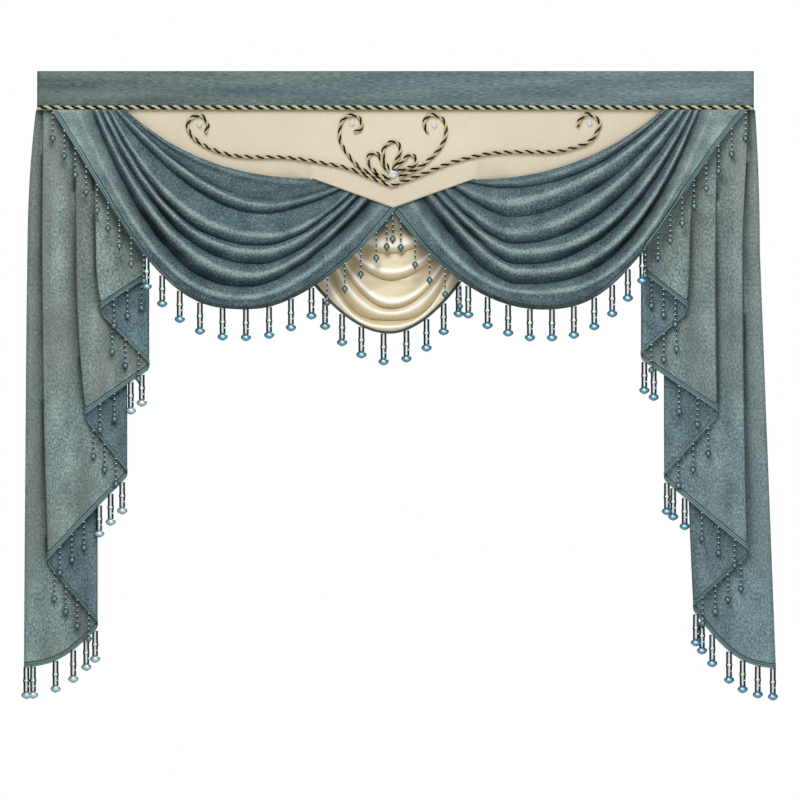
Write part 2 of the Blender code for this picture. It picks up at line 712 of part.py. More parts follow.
def main():
    clear_scene()
    build_band()
    build_band_rope()
    build_panel()
    build_swag("left", LEFT_FOLDS, LEFT_HEM_DROPS)
    build_swag("right", RIGHT_FOLDS, RIGHT_HEM_DROPS)
    build_centre_swag()
    build_tail("left", -1, LEFT_TAIL)
    build_tail("right", 1, RIGHT_TAIL)
    twisted_rope("scroll_rope_outer", OUTER_SCROLL)
    twisted_rope("scroll_rope_left", LEFT_SCROLL)
    twisted_rope("scroll_rope_right", RIGHT_SCROLL)
    twisted_rope("scroll_rope_clover", CLOVER)
    for button in BUTTONS:
        build_button(button)


main()
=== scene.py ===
"""Dressed scene of a curtain valance: heading band, cream panel, draped swags, cascade tails and bead fringe.

Lengths in the tables and the classes are in millimetres and become metres when a mesh is made. X runs along
the heading, Z up and Y from the front to the back. A stand is a distance in front of the band's back face.
"""

from __future__ import annotations

import logging
import math
from dataclasses import dataclass, field, fields, replace
from enum import Enum
from typing import Iterable, Sequence

import bpy
import numpy as np
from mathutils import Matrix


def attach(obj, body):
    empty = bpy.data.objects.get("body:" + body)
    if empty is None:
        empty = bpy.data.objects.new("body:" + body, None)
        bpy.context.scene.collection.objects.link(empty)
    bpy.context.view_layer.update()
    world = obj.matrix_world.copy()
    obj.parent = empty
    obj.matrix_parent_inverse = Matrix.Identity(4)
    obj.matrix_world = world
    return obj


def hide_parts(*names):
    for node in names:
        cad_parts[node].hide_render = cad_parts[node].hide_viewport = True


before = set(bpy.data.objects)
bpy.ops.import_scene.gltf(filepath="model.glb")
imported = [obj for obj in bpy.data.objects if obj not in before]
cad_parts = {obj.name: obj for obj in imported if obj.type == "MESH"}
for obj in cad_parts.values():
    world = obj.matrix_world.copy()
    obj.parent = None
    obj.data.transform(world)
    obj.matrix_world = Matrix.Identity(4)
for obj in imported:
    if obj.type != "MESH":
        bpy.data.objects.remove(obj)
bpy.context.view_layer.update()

Array = np.ndarray
Color = tuple[float, float, float]
Node = bpy.types.Node
Socket = bpy.types.NodeSocket
Piece = bpy.types.Object

MM = 0.001
SEAM_Z = -97.3
WHITE: Color = (1.0, 1.0, 1.0)
LOG = logging.getLogger("valance")


# Small maths


def smooth(t: Array | float) -> Array | float:
    """Return a soft step from 0 to 1."""
    t = np.clip(t, 0.0, 1.0)
    return t * t * (3 - 2 * t)


def mix(a: Array | float, b: Array | float, t: Array | float) -> Array | float:
    """Return the value a share t of the way from a to b."""
    return a + (b - a) * t


def unit(vectors: Array) -> Array:
    """Return the vectors at length one."""
    return vectors / np.maximum(np.linalg.norm(vectors, axis=-1, keepdims=True), 1e-9)


def distances(points: Array) -> Array:
    """Return the distance along a line of points to each of them."""
    steps = np.linalg.norm(np.diff(points, axis=0), axis=1)
    return np.concatenate([[0.0], np.cumsum(steps)])


def along(points: Array, wanted: Array) -> Array:
    """Return the points of a line at the wanted distances along it."""
    total = distances(points)
    return np.stack([np.interp(wanted, total, points[:, i]) for i in range(points.shape[1])], axis=1)


class SoftNoise:
    """Smooth repeatable noise from a lattice of seeded random values."""

    def __init__(self, seed: int, size: int = 64) -> None:
        """Fill the lattice with values from -1 to 1."""
        self.size = size
        self.values = np.random.default_rng(seed).uniform(-1, 1, (size, size))

    def at(self, u: Array, v: Array) -> Array:
        """Return the noise at lattice coordinates.

        Args:
            u: First coordinate, one lattice cell to a unit.
            v: Second coordinate.

        Returns:
            Values from -1 to 1, shaped like u and v.
        """
        u, v = np.broadcast_arrays(u, v)
        i, j = np.floor(u).astype(int), np.floor(v).astype(int)
        a, b = smooth(u - i), smooth(v - j)
        size = self.size
        near = mix(self.values[i % size, j % size], self.values[(i + 1) % size, j % size], a)
        far = mix(self.values[i % size, (j + 1) % size], self.values[(i + 1) % size, (j + 1) % size], a)
        return mix(near, far, b)


# Meshes from arrays


@dataclass
class Geometry:
    """Points and faces of a mesh in millimetres, with a material slot for each face."""

    points: Array
    corners: Array
    counts: Array
    slots: Array
    smooth_faces: Array
    cloth_uv: Array
    # hollow and crest are masks for each point: painted shade and painted highlight on cloth. On the braid
    # they are how far it is rolled under and the place across it.
    hollow: Array
    crest: Array

    @staticmethod
    def of(
        points: Array, faces: Sequence[Sequence[int]], slot: int = 0, is_smooth: bool = True
    ) -> "Geometry":
        """Return geometry from points and a list of faces, all in one material slot.

        Args:
            points: The points, one row each.
            faces: Each face's corners, as numbers of points.
            slot: The material slot.
            is_smooth: Whether its faces are shaded smooth.

        Returns:
            The geometry, with empty masks and cloth coordinates.
        """
        corners = np.array([corner for face in faces for corner in face], dtype=np.int32)
        counts = np.array([len(face) for face in faces], dtype=np.int32)
        plain = np.zeros(len(points))
        return Geometry(
            np.asarray(points, dtype=float), corners, counts, np.full(len(faces), slot, dtype=np.int32),
            np.full(len(faces), is_smooth), np.zeros((len(points), 2)), plain, plain.copy(),
        )

    @staticmethod
    def join(parts: Iterable["Geometry"]) -> "Geometry":
        """Return the parts as one geometry.

        Args:
            parts: The geometries to put together.

        Returns:
            One geometry with all of them.
        """
        parts = list(parts)
        starts = np.cumsum([0] + [len(part.points) for part in parts[:-1]])
        joined = {
            item.name: np.concatenate([getattr(part, item.name) for part in parts])
            for item in fields(Geometry)
        }
        joined["corners"] = np.concatenate([part.corners + start for part, start in zip(parts, starts)])
        return Geometry(**joined)

    def moved(self, offset: Array, turn: float = 0.0, stretch: float = 1.0) -> "Geometry":
        """Return a copy turned about Z, stretched along it and then moved.

        Args:
            offset: How far to move it.
            turn: The turn about Z, in radians.
            stretch: The stretch along Z.

        Returns:
            The moved copy.
        """
        c, s = math.cos(turn), math.sin(turn)
        x, y, z = self.points.T
        points = np.stack([c * x - s * y, s * x + c * y, z * stretch], axis=1) + offset
        return replace(self, points=points)

    def build(self, name: str, finishes: Sequence["Finish"]) -> Piece:
        """Make the object.

        Args:
            name: The object's name.
            finishes: One finish for each material slot.

        Returns:
            The new object, linked to the scene and riding on the part.
        """
        mesh = bpy.data.meshes.new(name)
        mesh.vertices.add(len(self.points))
        mesh.vertices.foreach_set("co", (self.points * MM).astype(np.float32).ravel())
        mesh.loops.add(len(self.corners))
        mesh.loops.foreach_set("vertex_index", self.corners)
        mesh.polygons.add(len(self.counts))
        starts = np.concatenate([[0], np.cumsum(self.counts)[:-1]]).astype(np.int32)
        mesh.polygons.foreach_set("loop_start", starts)
        mesh.update(calc_edges=True)
        mesh.polygons.foreach_set("material_index", self.slots)
        mesh.polygons.foreach_set("use_smooth", self.smooth_faces)
        layer = mesh.uv_layers.new(name="cloth")
        layer.data.foreach_set("uv", self.cloth_uv[self.corners].astype(np.float32).ravel())
        # The hollow and crest masks go on the mesh: painted shade and painted highlight for the cloth
        # finishes.
        for label, values in (("hollow", self.hollow), ("crest", self.crest)):
            mesh.attributes.new(label, "FLOAT", "POINT").data.foreach_set("value", values.astype(np.float32))
        mesh.validate()
        mesh.update()
        for finish in finishes:
            mesh.materials.append(finish.material())
        piece = bpy.data.objects.new(name, mesh)
        bpy.context.scene.collection.objects.link(piece)
        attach(piece, "root")
        return piece


def grid_faces(rows: int, columns: int, flip: bool = False) -> Array:
    """Return the four corners of each cell in a grid of points.

    Args:
        rows: Number of rows of points.
        columns: Number of points in a row.
        flip: Whether the faces look the other way.

    Returns:
        One row of four corners for each cell.
    """
    index = np.arange(rows * columns).reshape(rows, columns)
    a, b, c, d = index[:-1, :-1], index[:-1, 1:], index[1:, 1:], index[1:, :-1]
    order = (d, c, b, a) if flip else (a, b, c, d)
    return np.stack(order, axis=-1).reshape(-1, 4)


def grid_normals(grid: Array) -> Array:
    """Return the unit normals of a grid, across its rows and down its columns."""
    return unit(np.cross(np.gradient(grid, axis=1), np.gradient(grid, axis=0)))


def grid_lengths(grid: Array) -> tuple[Array, Array]:
    """Return how far each point of a grid lies along its row, and how far down its column.

    Args:
        grid: The cloth's points.

    Returns:
        Two arrays of lengths, in the grid's own unit.
    """
    across = np.linalg.norm(np.diff(grid, axis=1), axis=-1)
    down = np.linalg.norm(np.diff(grid, axis=0), axis=-1)
    u = np.concatenate([np.zeros((len(grid), 1)), np.cumsum(across, axis=1)], axis=1)
    return u, np.concatenate([np.zeros((1, grid.shape[1])), np.cumsum(down, axis=0)])


@dataclass
class ClothSheet:
    """A sheet of cloth on a grid of points, row by row from its top to its hem.

    front is +1 where the front side looks along the grid's own normal, and -1 where it looks against it.
    """

    grid: Array
    thickness: Array | float
    front: int = -1
    # hollow is painted shade and crest painted highlight. The braid uses them for its roll and its place
    # across.
    hollow: Array | None = None
    crest: Array | None = None
    slots: tuple[int, int] = (0, 1)
    straight_grain: bool = False

    def lay_out(self) -> Array:
        """Return flat coordinates in metres that follow the cloth's own rows and columns.

        Returns:
            Two flat coordinates for each point of the grid.
        """
        u, v = grid_lengths(self.grid)
        if self.straight_grain:
            u = np.broadcast_to(u.mean(axis=0), u.shape)
        else:
            u = u - u.mean(axis=1, keepdims=True)
        return np.stack([u, v], axis=-1) * MM

    def geometry(self) -> Geometry:
        """Return a closed skin: the front, the back and the edge that joins them.

        Returns:
            The skin, with its masks and flat coordinates.
        """
        rows, columns = self.grid.shape[:2]
        out = grid_normals(self.grid) * self.front * np.asarray(self.thickness)[..., None] / 2
        count = rows * columns
        points = np.concatenate([(self.grid + out).reshape(-1, 3), (self.grid - out).reshape(-1, 3)])
        front = grid_faces(rows, columns, flip=self.front < 0)
        back = grid_faces(rows, columns, flip=self.front > 0) + count
        index = np.arange(count).reshape(rows, columns)
        rim = np.concatenate([index[0, :-1], index[:-1, -1], index[-1, :0:-1], index[:0:-1, 0]])
        ahead = np.roll(rim, -1)
        edge = np.stack([rim, rim + count, ahead + count, ahead], axis=1)
        if self.front < 0:
            edge = edge[:, ::-1]
        faces = np.concatenate([front, back, edge])
        slots = np.concatenate([
            np.full(len(front), self.slots[0]), np.full(len(back), self.slots[1]),
            np.full(len(edge), self.slots[0]),
        ]).astype(np.int32)
        hollow = np.zeros(self.grid.shape[:2]) if self.hollow is None else self.hollow
        crest = np.zeros(self.grid.shape[:2]) if self.crest is None else self.crest
        return Geometry(
            points, faces.ravel().astype(np.int32), np.full(len(faces), 4, dtype=np.int32), slots,
            np.ones(len(faces), dtype=bool), np.tile(self.lay_out().reshape(-1, 2), (2, 1)),
            np.tile(hollow.ravel(), 2), np.tile(crest.ravel(), 2),
        )


def turned(
    profile: Sequence[tuple[float, float]], sides: int, slot: int = 0, is_smooth: bool = True
) -> Geometry:
    """Return a closed piece turned about Z.

    Args:
        profile: Pairs of height and radius, from the top down.
        sides: Number of sides around.
        slot: The material slot.
        is_smooth: Whether its faces are shaded smooth.

    Returns:
        The geometry.
    """
    angles = np.arange(sides) * math.tau / sides
    rings = [[(r * math.cos(a), r * math.sin(a), z) for a in angles] for z, r in profile]
    faces: list[Sequence[int]] = []
    for k in range(len(profile) - 1):
        for i in range(sides):
            j = (i + 1) % sides
            faces.append((k * sides + i, (k + 1) * sides + i, (k + 1) * sides + j, k * sides + j))
    last = (len(profile) - 1) * sides
    faces += [tuple(range(sides)), tuple(last + i for i in reversed(range(sides)))]
    return Geometry.of(np.array(rings).reshape(-1, 3), faces, slot, is_smooth)


def tube(path: Array, radius: Array | float, sides: int, slot: int = 0) -> Geometry:
    """Return a closed tube along a path.

    Args:
        path: Points along the middle of the tube.
        radius: Its radius, the same everywhere or one for each point.
        sides: Number of sides around.
        slot: The material slot.

    Returns:
        The geometry.
    """
    ahead = unit(np.gradient(path, axis=0))
    guide = np.where(np.abs(ahead[:, 1:2]) > 0.8, [[1.0, 0.0, 0.0]], [[0.0, -1.0, 0.0]])
    side = unit(np.cross(ahead, guide))
    up = np.cross(side, ahead)
    angles = np.arange(sides) * math.tau / sides
    reach = np.broadcast_to(np.asarray(radius, dtype=float), len(path))[:, None, None]
    around = np.cos(angles)[None, :, None] * side[:, None] + np.sin(angles)[None, :, None] * up[:, None]
    rings = path[:, None] + reach * around
    count = len(path)
    index = np.arange(count * sides).reshape(count, sides)
    ahead_index = np.roll(index, -1, axis=1)
    quads = np.stack([index[:-1], index[1:], ahead_index[1:], ahead_index[:-1]], axis=-1).reshape(-1, 4)
    faces = [tuple(quad) for quad in quads.tolist()]
    faces += [tuple(range(sides)), tuple((count - 1) * sides + i for i in reversed(range(sides)))]
    part = Geometry.of(rings.reshape(-1, 3), faces, slot)
    travelled = distances(path)
    part.cloth_uv = np.stack(
        [np.repeat(travelled, sides), np.tile(angles, count) * np.repeat(reach[:, 0, 0], sides)], axis=1
    ) * MM
    return part


# Finishes


class Shader:
    """Adds nodes to one node tree and joins them."""

    def __init__(self, tree: bpy.types.NodeTree) -> None:
        """Keep the tree."""
        self.tree = tree

    def node(self, kind: str, inputs: dict | None = None, **settings: object) -> Node:
        """Add a node.

        Args:
            kind: The node's Blender type.
            inputs: Values or sockets for its inputs, by name or number.
            settings: Properties to set on it first.

        Returns:
            The new node.
        """
        made = self.tree.nodes.new(kind)
        for key, value in settings.items():
            setattr(made, key, value)
        for key, value in (inputs or {}).items():
            if isinstance(value, Socket):
                self.tree.links.new(value, made.inputs[key])
            else:
                made.inputs[key].default_value = value
        return made

    def math(self, operation: str, a: object, b: object = 0.0) -> Socket:
        """Add a Math node and return its output."""
        return self.node("ShaderNodeMath", {0: a, 1: b}, operation=operation).outputs[0]

    def span(
        self, value: object, low: float, high: float, to_low: float, to_high: float
    ) -> Socket:
        """Add a clamped Map Range node and return its output."""
        made = self.node("ShaderNodeMapRange", {0: value, 1: low, 2: high, 3: to_low, 4: to_high})
        return made.outputs[0]

    def blend(self, share: object, a: object, b: object, way: str = "MIX") -> Socket:
        """Add a colour Mix node and return its output.

        Args:
            share: How much of b shows, as a number or a socket.
            a: The first colour.
            b: The second colour.
            way: How they are blended.

        Returns:
            The blended colour.
        """
        made = self.node("ShaderNodeMix", data_type="RGBA", blend_type=way)
        for key, value in ((0, share), (6, a), (7, b)):
            if isinstance(value, Socket):
                self.tree.links.new(value, made.inputs[key])
            else:
                made.inputs[key].default_value = value if key == 0 else (*value, 1.0)
        return made.outputs[2]

    def noise(self, vector: object, scale: float, detail: float = 2.0) -> Socket:
        """Add a noise texture and return its value."""
        made = self.node("ShaderNodeTexNoise", {"Vector": vector, "Scale": scale, "Detail": detail})
        return made.outputs[0]

    def stretched(self, vector: object, scale: tuple[float, float, float]) -> Socket:
        """Add a Mapping node that scales a vector and return its output."""
        return self.node("ShaderNodeMapping", {"Vector": vector, "Scale": scale}).outputs[0]

    def cloth_map(self) -> Socket:
        """Add the cloth's flat coordinates and return them."""
        return self.node("ShaderNodeUVMap", uv_map="cloth").outputs[0]

    def mask(self, name: str) -> Socket:
        """Add one of the mesh's own masks and return its value."""
        return self.node("ShaderNodeAttribute", attribute_name=name).outputs["Fac"]

    def object_place(self) -> Socket:
        """Add the place in the object's own coordinates and return it."""
        return self.node("ShaderNodeTexCoord").outputs["Object"]

    def stripes(self, flat: Socket, slope: float, per_metre: float) -> Socket:
        """Add slanting stripes and return their wave.

        Args:
            flat: The cloth's flat coordinates.
            slope: How much the stripes slant.
            per_metre: How many there are to a metre.

        Returns:
            A value from -1 to 1.
        """
        parts = self.node("ShaderNodeSeparateXYZ", {0: flat})
        slant = self.math("ADD", parts.outputs[0], self.math("MULTIPLY", parts.outputs[1], slope))
        return self.math("SINE", self.math("MULTIPLY", slant, per_metre * math.tau))


def new_group(name: str, inputs: dict[str, float | None], outputs: Sequence[str]) -> tuple:
    """Make an empty shader node group.

    Args:
        name: The group's name.
        inputs: The default of each number input, or None for a vector.
        outputs: Names of its number outputs.

    Returns:
        The group, a shader builder for it, its input node and its output node.
    """
    group = bpy.data.node_groups.new(name, "ShaderNodeTree")
    for label, default in inputs.items():
        kind = "NodeSocketVector" if default is None else "NodeSocketFloat"
        made = group.interface.new_socket(name=label, in_out="INPUT", socket_type=kind)
        if default is not None:
            made.default_value = default
    for label in outputs:
        group.interface.new_socket(name=label, in_out="OUTPUT", socket_type="NodeSocketFloat")
    shader = Shader(group)
    return group, shader, shader.node("NodeGroupInput"), shader.node("NodeGroupOutput")


class SharedEffects:
    """The node groups that more than one finish uses, each made once."""

    def __init__(self) -> None:
        """Start with no group made."""
        self.made: dict[str, bpy.types.NodeTree] = {}

    def pile(self) -> bpy.types.NodeTree:
        """Return the group for brushed pile: soft patches with a fine speckle.

        Returns:
            The group, made the first time it is asked for.
        """
        if "pile" not in self.made:
            group, shader, given, result = new_group(
                "pile",
                {"Vector": None, "Patch Scale": 14.0, "Patches": 0.5, "Speckle Scale": 260.0, "Speckle": 0.5},
                ["Mask", "Height"],
            )
            patches = shader.node("ShaderNodeTexNoise", {"Detail": 4.0, "Roughness": 0.62})
            specks = shader.node("ShaderNodeTexNoise", {"Detail": 2.0, "Roughness": 0.7})
            for texture, label in ((patches, "Patch Scale"), (specks, "Speckle Scale")):
                group.links.new(given.outputs["Vector"], texture.inputs["Vector"])
                group.links.new(given.outputs[label], texture.inputs["Scale"])
            wide = shader.math(
                "MULTIPLY", shader.span(patches.outputs[0], 0.3, 0.7, -0.5, 0.5), given.outputs["Patches"]
            )
            wide = shader.math("ADD", wide, 0.5)
            fine = shader.span(specks.outputs[0], 0.32, 0.68, -0.5, 0.5)
            spread = shader.math("MULTIPLY", fine, given.outputs["Speckle"])
            mask = shader.node("ShaderNodeMath", {0: wide, 1: spread}, operation="ADD", use_clamp=True)
            group.links.new(mask.outputs[0], result.inputs["Mask"])
            group.links.new(specks.outputs[0], result.inputs["Height"])
            self.made["pile"] = group
        return self.made["pile"]

    def weave(self) -> bpy.types.NodeTree:
        """Return the group for a plain weave: threads across and along, a little uneven.

        Returns:
            The group, made the first time it is asked for.
        """
        if "weave" not in self.made:
            group, shader, given, result = new_group(
                "weave", {"Vector": None, "Threads": 500.0, "Unevenness": 0.5}, ["Height", "Slub"]
            )
            parts = shader.node("ShaderNodeSeparateXYZ", {0: given.outputs["Vector"]})
            turns = shader.math("MULTIPLY", given.outputs["Threads"], math.tau)
            wobble = shader.noise(given.outputs["Vector"], 60.0)
            drift = shader.math("MULTIPLY", shader.math("MULTIPLY", wobble, given.outputs["Unevenness"]), 6.0)
            waves = []
            for axis in (0, 1):
                phase = shader.math("ADD", shader.math("MULTIPLY", parts.outputs[axis], turns), drift)
                waves.append(shader.math("SINE", phase))
            both = shader.math("MULTIPLY", waves[0], waves[1])
            group.links.new(shader.span(both, -1.0, 1.0, 0.0, 1.0), result.inputs["Height"])
            long_way = shader.stretched(given.outputs["Vector"], (9.0, 1.0, 1.0))
            slub = shader.noise(long_way, 40.0, 3.0)
            group.links.new(shader.span(slub, 0.35, 0.65, 0.0, 1.0), result.inputs["Slub"])
            self.made["weave"] = group
        return self.made["weave"]


EFFECTS = SharedEffects()
MATERIALS: dict[str, bpy.types.Material] = {}


@dataclass(frozen=True)
class Finish:
    """A finish: its name, and how glossy it is."""

    name: str
    roughness: float = 0.8

    def material(self) -> bpy.types.Material:
        """Return the finish's material, made the first time it is asked for.

        Returns:
            The material.
        """
        if self.name not in MATERIALS:
            made = bpy.data.materials.new(self.name)
            made.use_nodes = True
            shader = Shader(made.node_tree)
            surface = made.node_tree.nodes["Principled BSDF"]
            settle(surface, {"Roughness": self.roughness})
            self.dress(shader, surface)
            MATERIALS[self.name] = made
        return MATERIALS[self.name]

    def dress(self, shader: Shader, surface: Node) -> None:
        """Add the finish's own nodes.

        Args:
            shader: Adds the nodes.
            surface: The surface shader.
        """
        raise NotImplementedError


def settle(node: Node, values: dict[str, float | tuple]) -> None:
    """Set a node's own values, which are the same all over the surface."""
    for name, value in values.items():
        node.inputs[name].default_value = value


def put(shader: Shader, value: Socket, surface: Node, name: str) -> None:
    """Join an output to one of the surface shader's inputs."""
    shader.tree.links.new(value, surface.inputs[name])


def relief(shader: Shader, surface: Node, height: Socket, depth: float) -> None:
    """Give the surface a bump of a depth in metres."""
    bump = shader.node("ShaderNodeBump", {"Height": height, "Distance": depth, "Strength": 1.0})
    put(shader, bump.outputs[0], surface, "Normal")


@dataclass(frozen=True)
class Chenille(Finish):
    """Brushed chenille: mottled pile, with painted shade in its creases and folds
    and a painted highlight on its crests and edges.
    """

    shadow: Color = (0.03, 0.055, 0.075)
    body: Color = (0.085, 0.14, 0.165)
    light: Color = (0.16, 0.235, 0.255)
    # Painted colours: crease is the shade in creases and folds, and the next one the highlight on crests and
    # edges.
    crease: Color = (0.006, 0.012, 0.018)
    painted_highlight: Color = (0.30, 0.38, 0.40)
    patch_scale: float = 16.0
    patches: float = 0.35
    speckle_scale: float = 230.0
    speckle: float = 1.1
    grain: tuple[float, float, float] = (1.0, 1.0, 1.0)
    crease_shade_share: float = 0.9
    painted_highlight_share: float = 0.55
    sheen: float = 0.35
    pile_depth: float = 0.0011
    faded: Color = (0.16, 0.17, 0.14)
    faded_share: float = 0.0
    tint: Color = WHITE
    tint_axis: int = 1
    tint_from: float = 0.1
    tint_to: float = 1.3

    def dress(self, shader: Shader, surface: Node) -> None:
        """Add the pile, its mottling, the painted shade in its creases and the painted highlight on its
        crests.

        Args:
            shader: Adds the nodes.
            surface: The surface shader.
        """
        flat = shader.cloth_map()
        pile = shader.node("ShaderNodeGroup", node_tree=EFFECTS.pile())
        shader.tree.links.new(shader.stretched(flat, self.grain), pile.inputs["Vector"])
        settle(pile, {
            "Patch Scale": self.patch_scale, "Patches": self.patches,
            "Speckle Scale": self.speckle_scale, "Speckle": self.speckle,
        })
        mask = pile.outputs["Mask"]
        low = shader.blend(shader.span(mask, 0.0, 0.5, 0.0, 1.0), self.shadow, self.body)
        colour = shader.blend(shader.span(mask, 0.5, 1.0, 0.0, 1.0), low, self.light)
        if self.faded_share:
            broad = shader.noise(shader.stretched(flat, (2.6, 0.5, 1.0)), 6.0, 3.0)
            colour = shader.blend(shader.span(broad, 0.4, 0.6, 0.0, self.faded_share), colour, self.faded)
        # A tint multiplied in along one flat direction. On the tails it turns the cloth bluer towards the
        # hem, and on the band it is painted shade towards the left end.
        if self.tint != WHITE:
            way = shader.node("ShaderNodeSeparateXYZ", {0: flat}).outputs[self.tint_axis]
            share = shader.span(way, self.tint_from, self.tint_to, 0.0, 1.0)
            colour = shader.blend(share, colour, self.tint, "MULTIPLY")
        # Painted highlight where the crest mask marks crests and edges, broken up by the pile.
        broken = shader.math("MULTIPLY", shader.mask("crest"), shader.span(mask, 0.1, 0.8, 0.45, 1.0))
        colour = shader.blend(shader.math("MULTIPLY", broken, self.painted_highlight_share), colour, self.painted_highlight)
        # Painted shade where the hollow mask marks creases and folds.
        dark = shader.math("MULTIPLY", shader.mask("hollow"), self.crease_shade_share)
        put(shader, shader.blend(dark, colour, self.crease), surface, "Base Color")
        settle(surface, {
            "Sheen Weight": self.sheen, "Sheen Roughness": 0.45, "Sheen Tint": (0.75, 0.88, 0.92, 1.0),
            "Specular IOR Level": 0.15,
        })
        relief(shader, surface, pile.outputs["Height"], self.pile_depth)


@dataclass(frozen=True)
class Linen(Finish):
    """Plain cream linen with a fine weave and faint slubs."""

    body: Color = (0.71, 0.627, 0.472)
    slub: Color = (0.63, 0.542, 0.397)
    threads: float = 420.0

    def dress(self, shader: Shader, surface: Node) -> None:
        """Add the weave and the slubs.

        Args:
            shader: Adds the nodes.
            surface: The surface shader.
        """
        flat = shader.cloth_map()
        weave = shader.node("ShaderNodeGroup", node_tree=EFFECTS.weave())
        shader.tree.links.new(flat, weave.inputs["Vector"])
        settle(weave, {"Threads": self.threads})
        slub = shader.math("MULTIPLY", weave.outputs["Slub"], 0.35)
        soft = shader.noise(flat, 9.0, 3.0)
        colour = shader.blend(slub, self.body, self.slub)
        colour = shader.blend(shader.span(soft, 0.4, 0.75, 0.0, 0.35), colour, self.slub)
        put(shader, colour, surface, "Base Color")
        settle(surface, {"Specular IOR Level": 0.2})
        relief(shader, surface, weave.outputs["Height"], 0.0004)


@dataclass(frozen=True)
class Satin(Finish):
    """Glossy cream satin with fine threads along its folds."""

    body: Color = (0.66, 0.575, 0.38)
    # The next three colours are painted: shade in the folds, deeper shade under the panel, and a highlight on
    # the ridges.
    fold: Color = (0.45, 0.335, 0.165)
    deep_shade: Color = (0.19, 0.175, 0.11)
    ridge: Color = (0.98, 0.95, 0.85)

    def dress(self, shader: Shader, surface: Node) -> None:
        """Add the gloss, the painted shade in the folds and under the panel, and the painted highlight on the
        ridges.

        Args:
            shader: Adds the nodes.
            surface: The surface shader.
        """
        flat = shader.cloth_map()
        hollow = shader.mask("hollow")
        # Painted shade in the folds, a painted highlight on the ridges, and deeper painted shade under the
        # panel.
        colour = shader.blend(shader.span(hollow, 0.0, 0.7, 0.0, 0.9), self.body, self.fold)
        colour = shader.blend(shader.math("MULTIPLY", shader.mask("crest"), 0.92), colour, self.ridge)
        colour = shader.blend(shader.span(hollow, 0.7, 1.0, 0.0, 1.0), colour, self.deep_shade)
        put(shader, colour, surface, "Base Color")
        settle(surface, {"Specular IOR Level": 0.5, "Sheen Weight": 0.1})
        threads = shader.noise(shader.stretched(flat, (0.06, 1.0, 1.0)), 900.0, 1.0)
        put(shader, shader.span(threads, 0.3, 0.7, 0.34, 0.48), surface, "Roughness")
        relief(shader, surface, threads, 0.00015)


@dataclass(frozen=True)
class Braid(Finish):
    """Woven edging: two ribbed rows with a dark seam between them, and painted shade along both edges.

    The mesh's crest value runs across the tape. Its hollow value is how far the tape is rolled under, where
    it takes the cloth's colour.
    """

    body: Color = (0.23, 0.37, 0.37)
    rib: Color = (0.075, 0.15, 0.16)
    # A dark seam colour, also used as painted shade along the braid's edges.
    seam: Color = (0.006, 0.014, 0.018)
    rolled: Color = (0.085, 0.11, 0.106)
    rolled_dark: Color = (0.03, 0.045, 0.045)
    ribs: float = 260.0

    def dress(self, shader: Shader, surface: Node) -> None:
        """Add the ribs, the seam and the painted shade along both edges.

        Args:
            shader: Adds the nodes.
            surface: The surface shader.
        """
        flat = shader.cloth_map()
        across = shader.mask("crest")
        wave = shader.stripes(flat, 0.8, self.ribs)
        patch = shader.noise(flat, 90.0, 3.0)
        uneven = shader.span(patch, 0.3, 0.7, 0.5, 1.0)
        share = shader.math("MULTIPLY", shader.span(wave, -1.0, 0.6, 0.8, 0.1), uneven)
        colour = shader.blend(share, self.body, self.rib)
        # A dark seam down the middle, and painted shade along the upper and lower edges.
        from_middle = shader.math("ABSOLUTE", shader.math("SUBTRACT", across, 0.52))
        middle = shader.span(from_middle, 0.05, 0.16, 0.5, 0.0)
        upper = shader.span(across, 0.1, 0.24, 1.0, 0.0)
        lower = shader.span(across, 0.86, 1.0, 0.0, 0.9)
        dark_lines = shader.math("MAXIMUM", middle, shader.math("MAXIMUM", upper, lower))
        colour = shader.blend(dark_lines, colour, self.seam)
        mottled = shader.blend(shader.span(patch, 0.35, 0.65, 0.0, 1.0), self.rolled_dark, self.rolled)
        put(shader, shader.blend(shader.mask("hollow"), colour, mottled), surface, "Base Color")
        settle(surface, {"Specular IOR Level": 0.25})
        relief(shader, surface, wave, 0.0005)


@dataclass(frozen=True)
class CordYarn(Finish):
    """One strand of a twisted cord, with its fine yarns showing as stripes."""

    body: Color = (0.5, 0.5, 0.2)
    stripe: Color = (0.3, 0.28, 0.08)
    yarns: float = 700.0
    gloss: float = 0.4
    sheen: float = 0.15

    def dress(self, shader: Shader, surface: Node) -> None:
        """Add the yarns.

        Args:
            shader: Adds the nodes.
            surface: The surface shader.
        """
        flat = shader.cloth_map()
        wave = shader.stripes(flat, 1.4, self.yarns)
        uneven = shader.span(shader.noise(flat, 160.0, 2.0), 0.3, 0.7, 0.4, 1.0)
        share = shader.math("MULTIPLY", shader.span(wave, -1.0, 1.0, 0.8, 0.0), uneven)
        put(shader, shader.blend(share, self.body, self.stripe), surface, "Base Color")
        settle(surface, {"Specular IOR Level": self.gloss, "Sheen Weight": self.sheen})
        relief(shader, surface, wave, 0.0003)


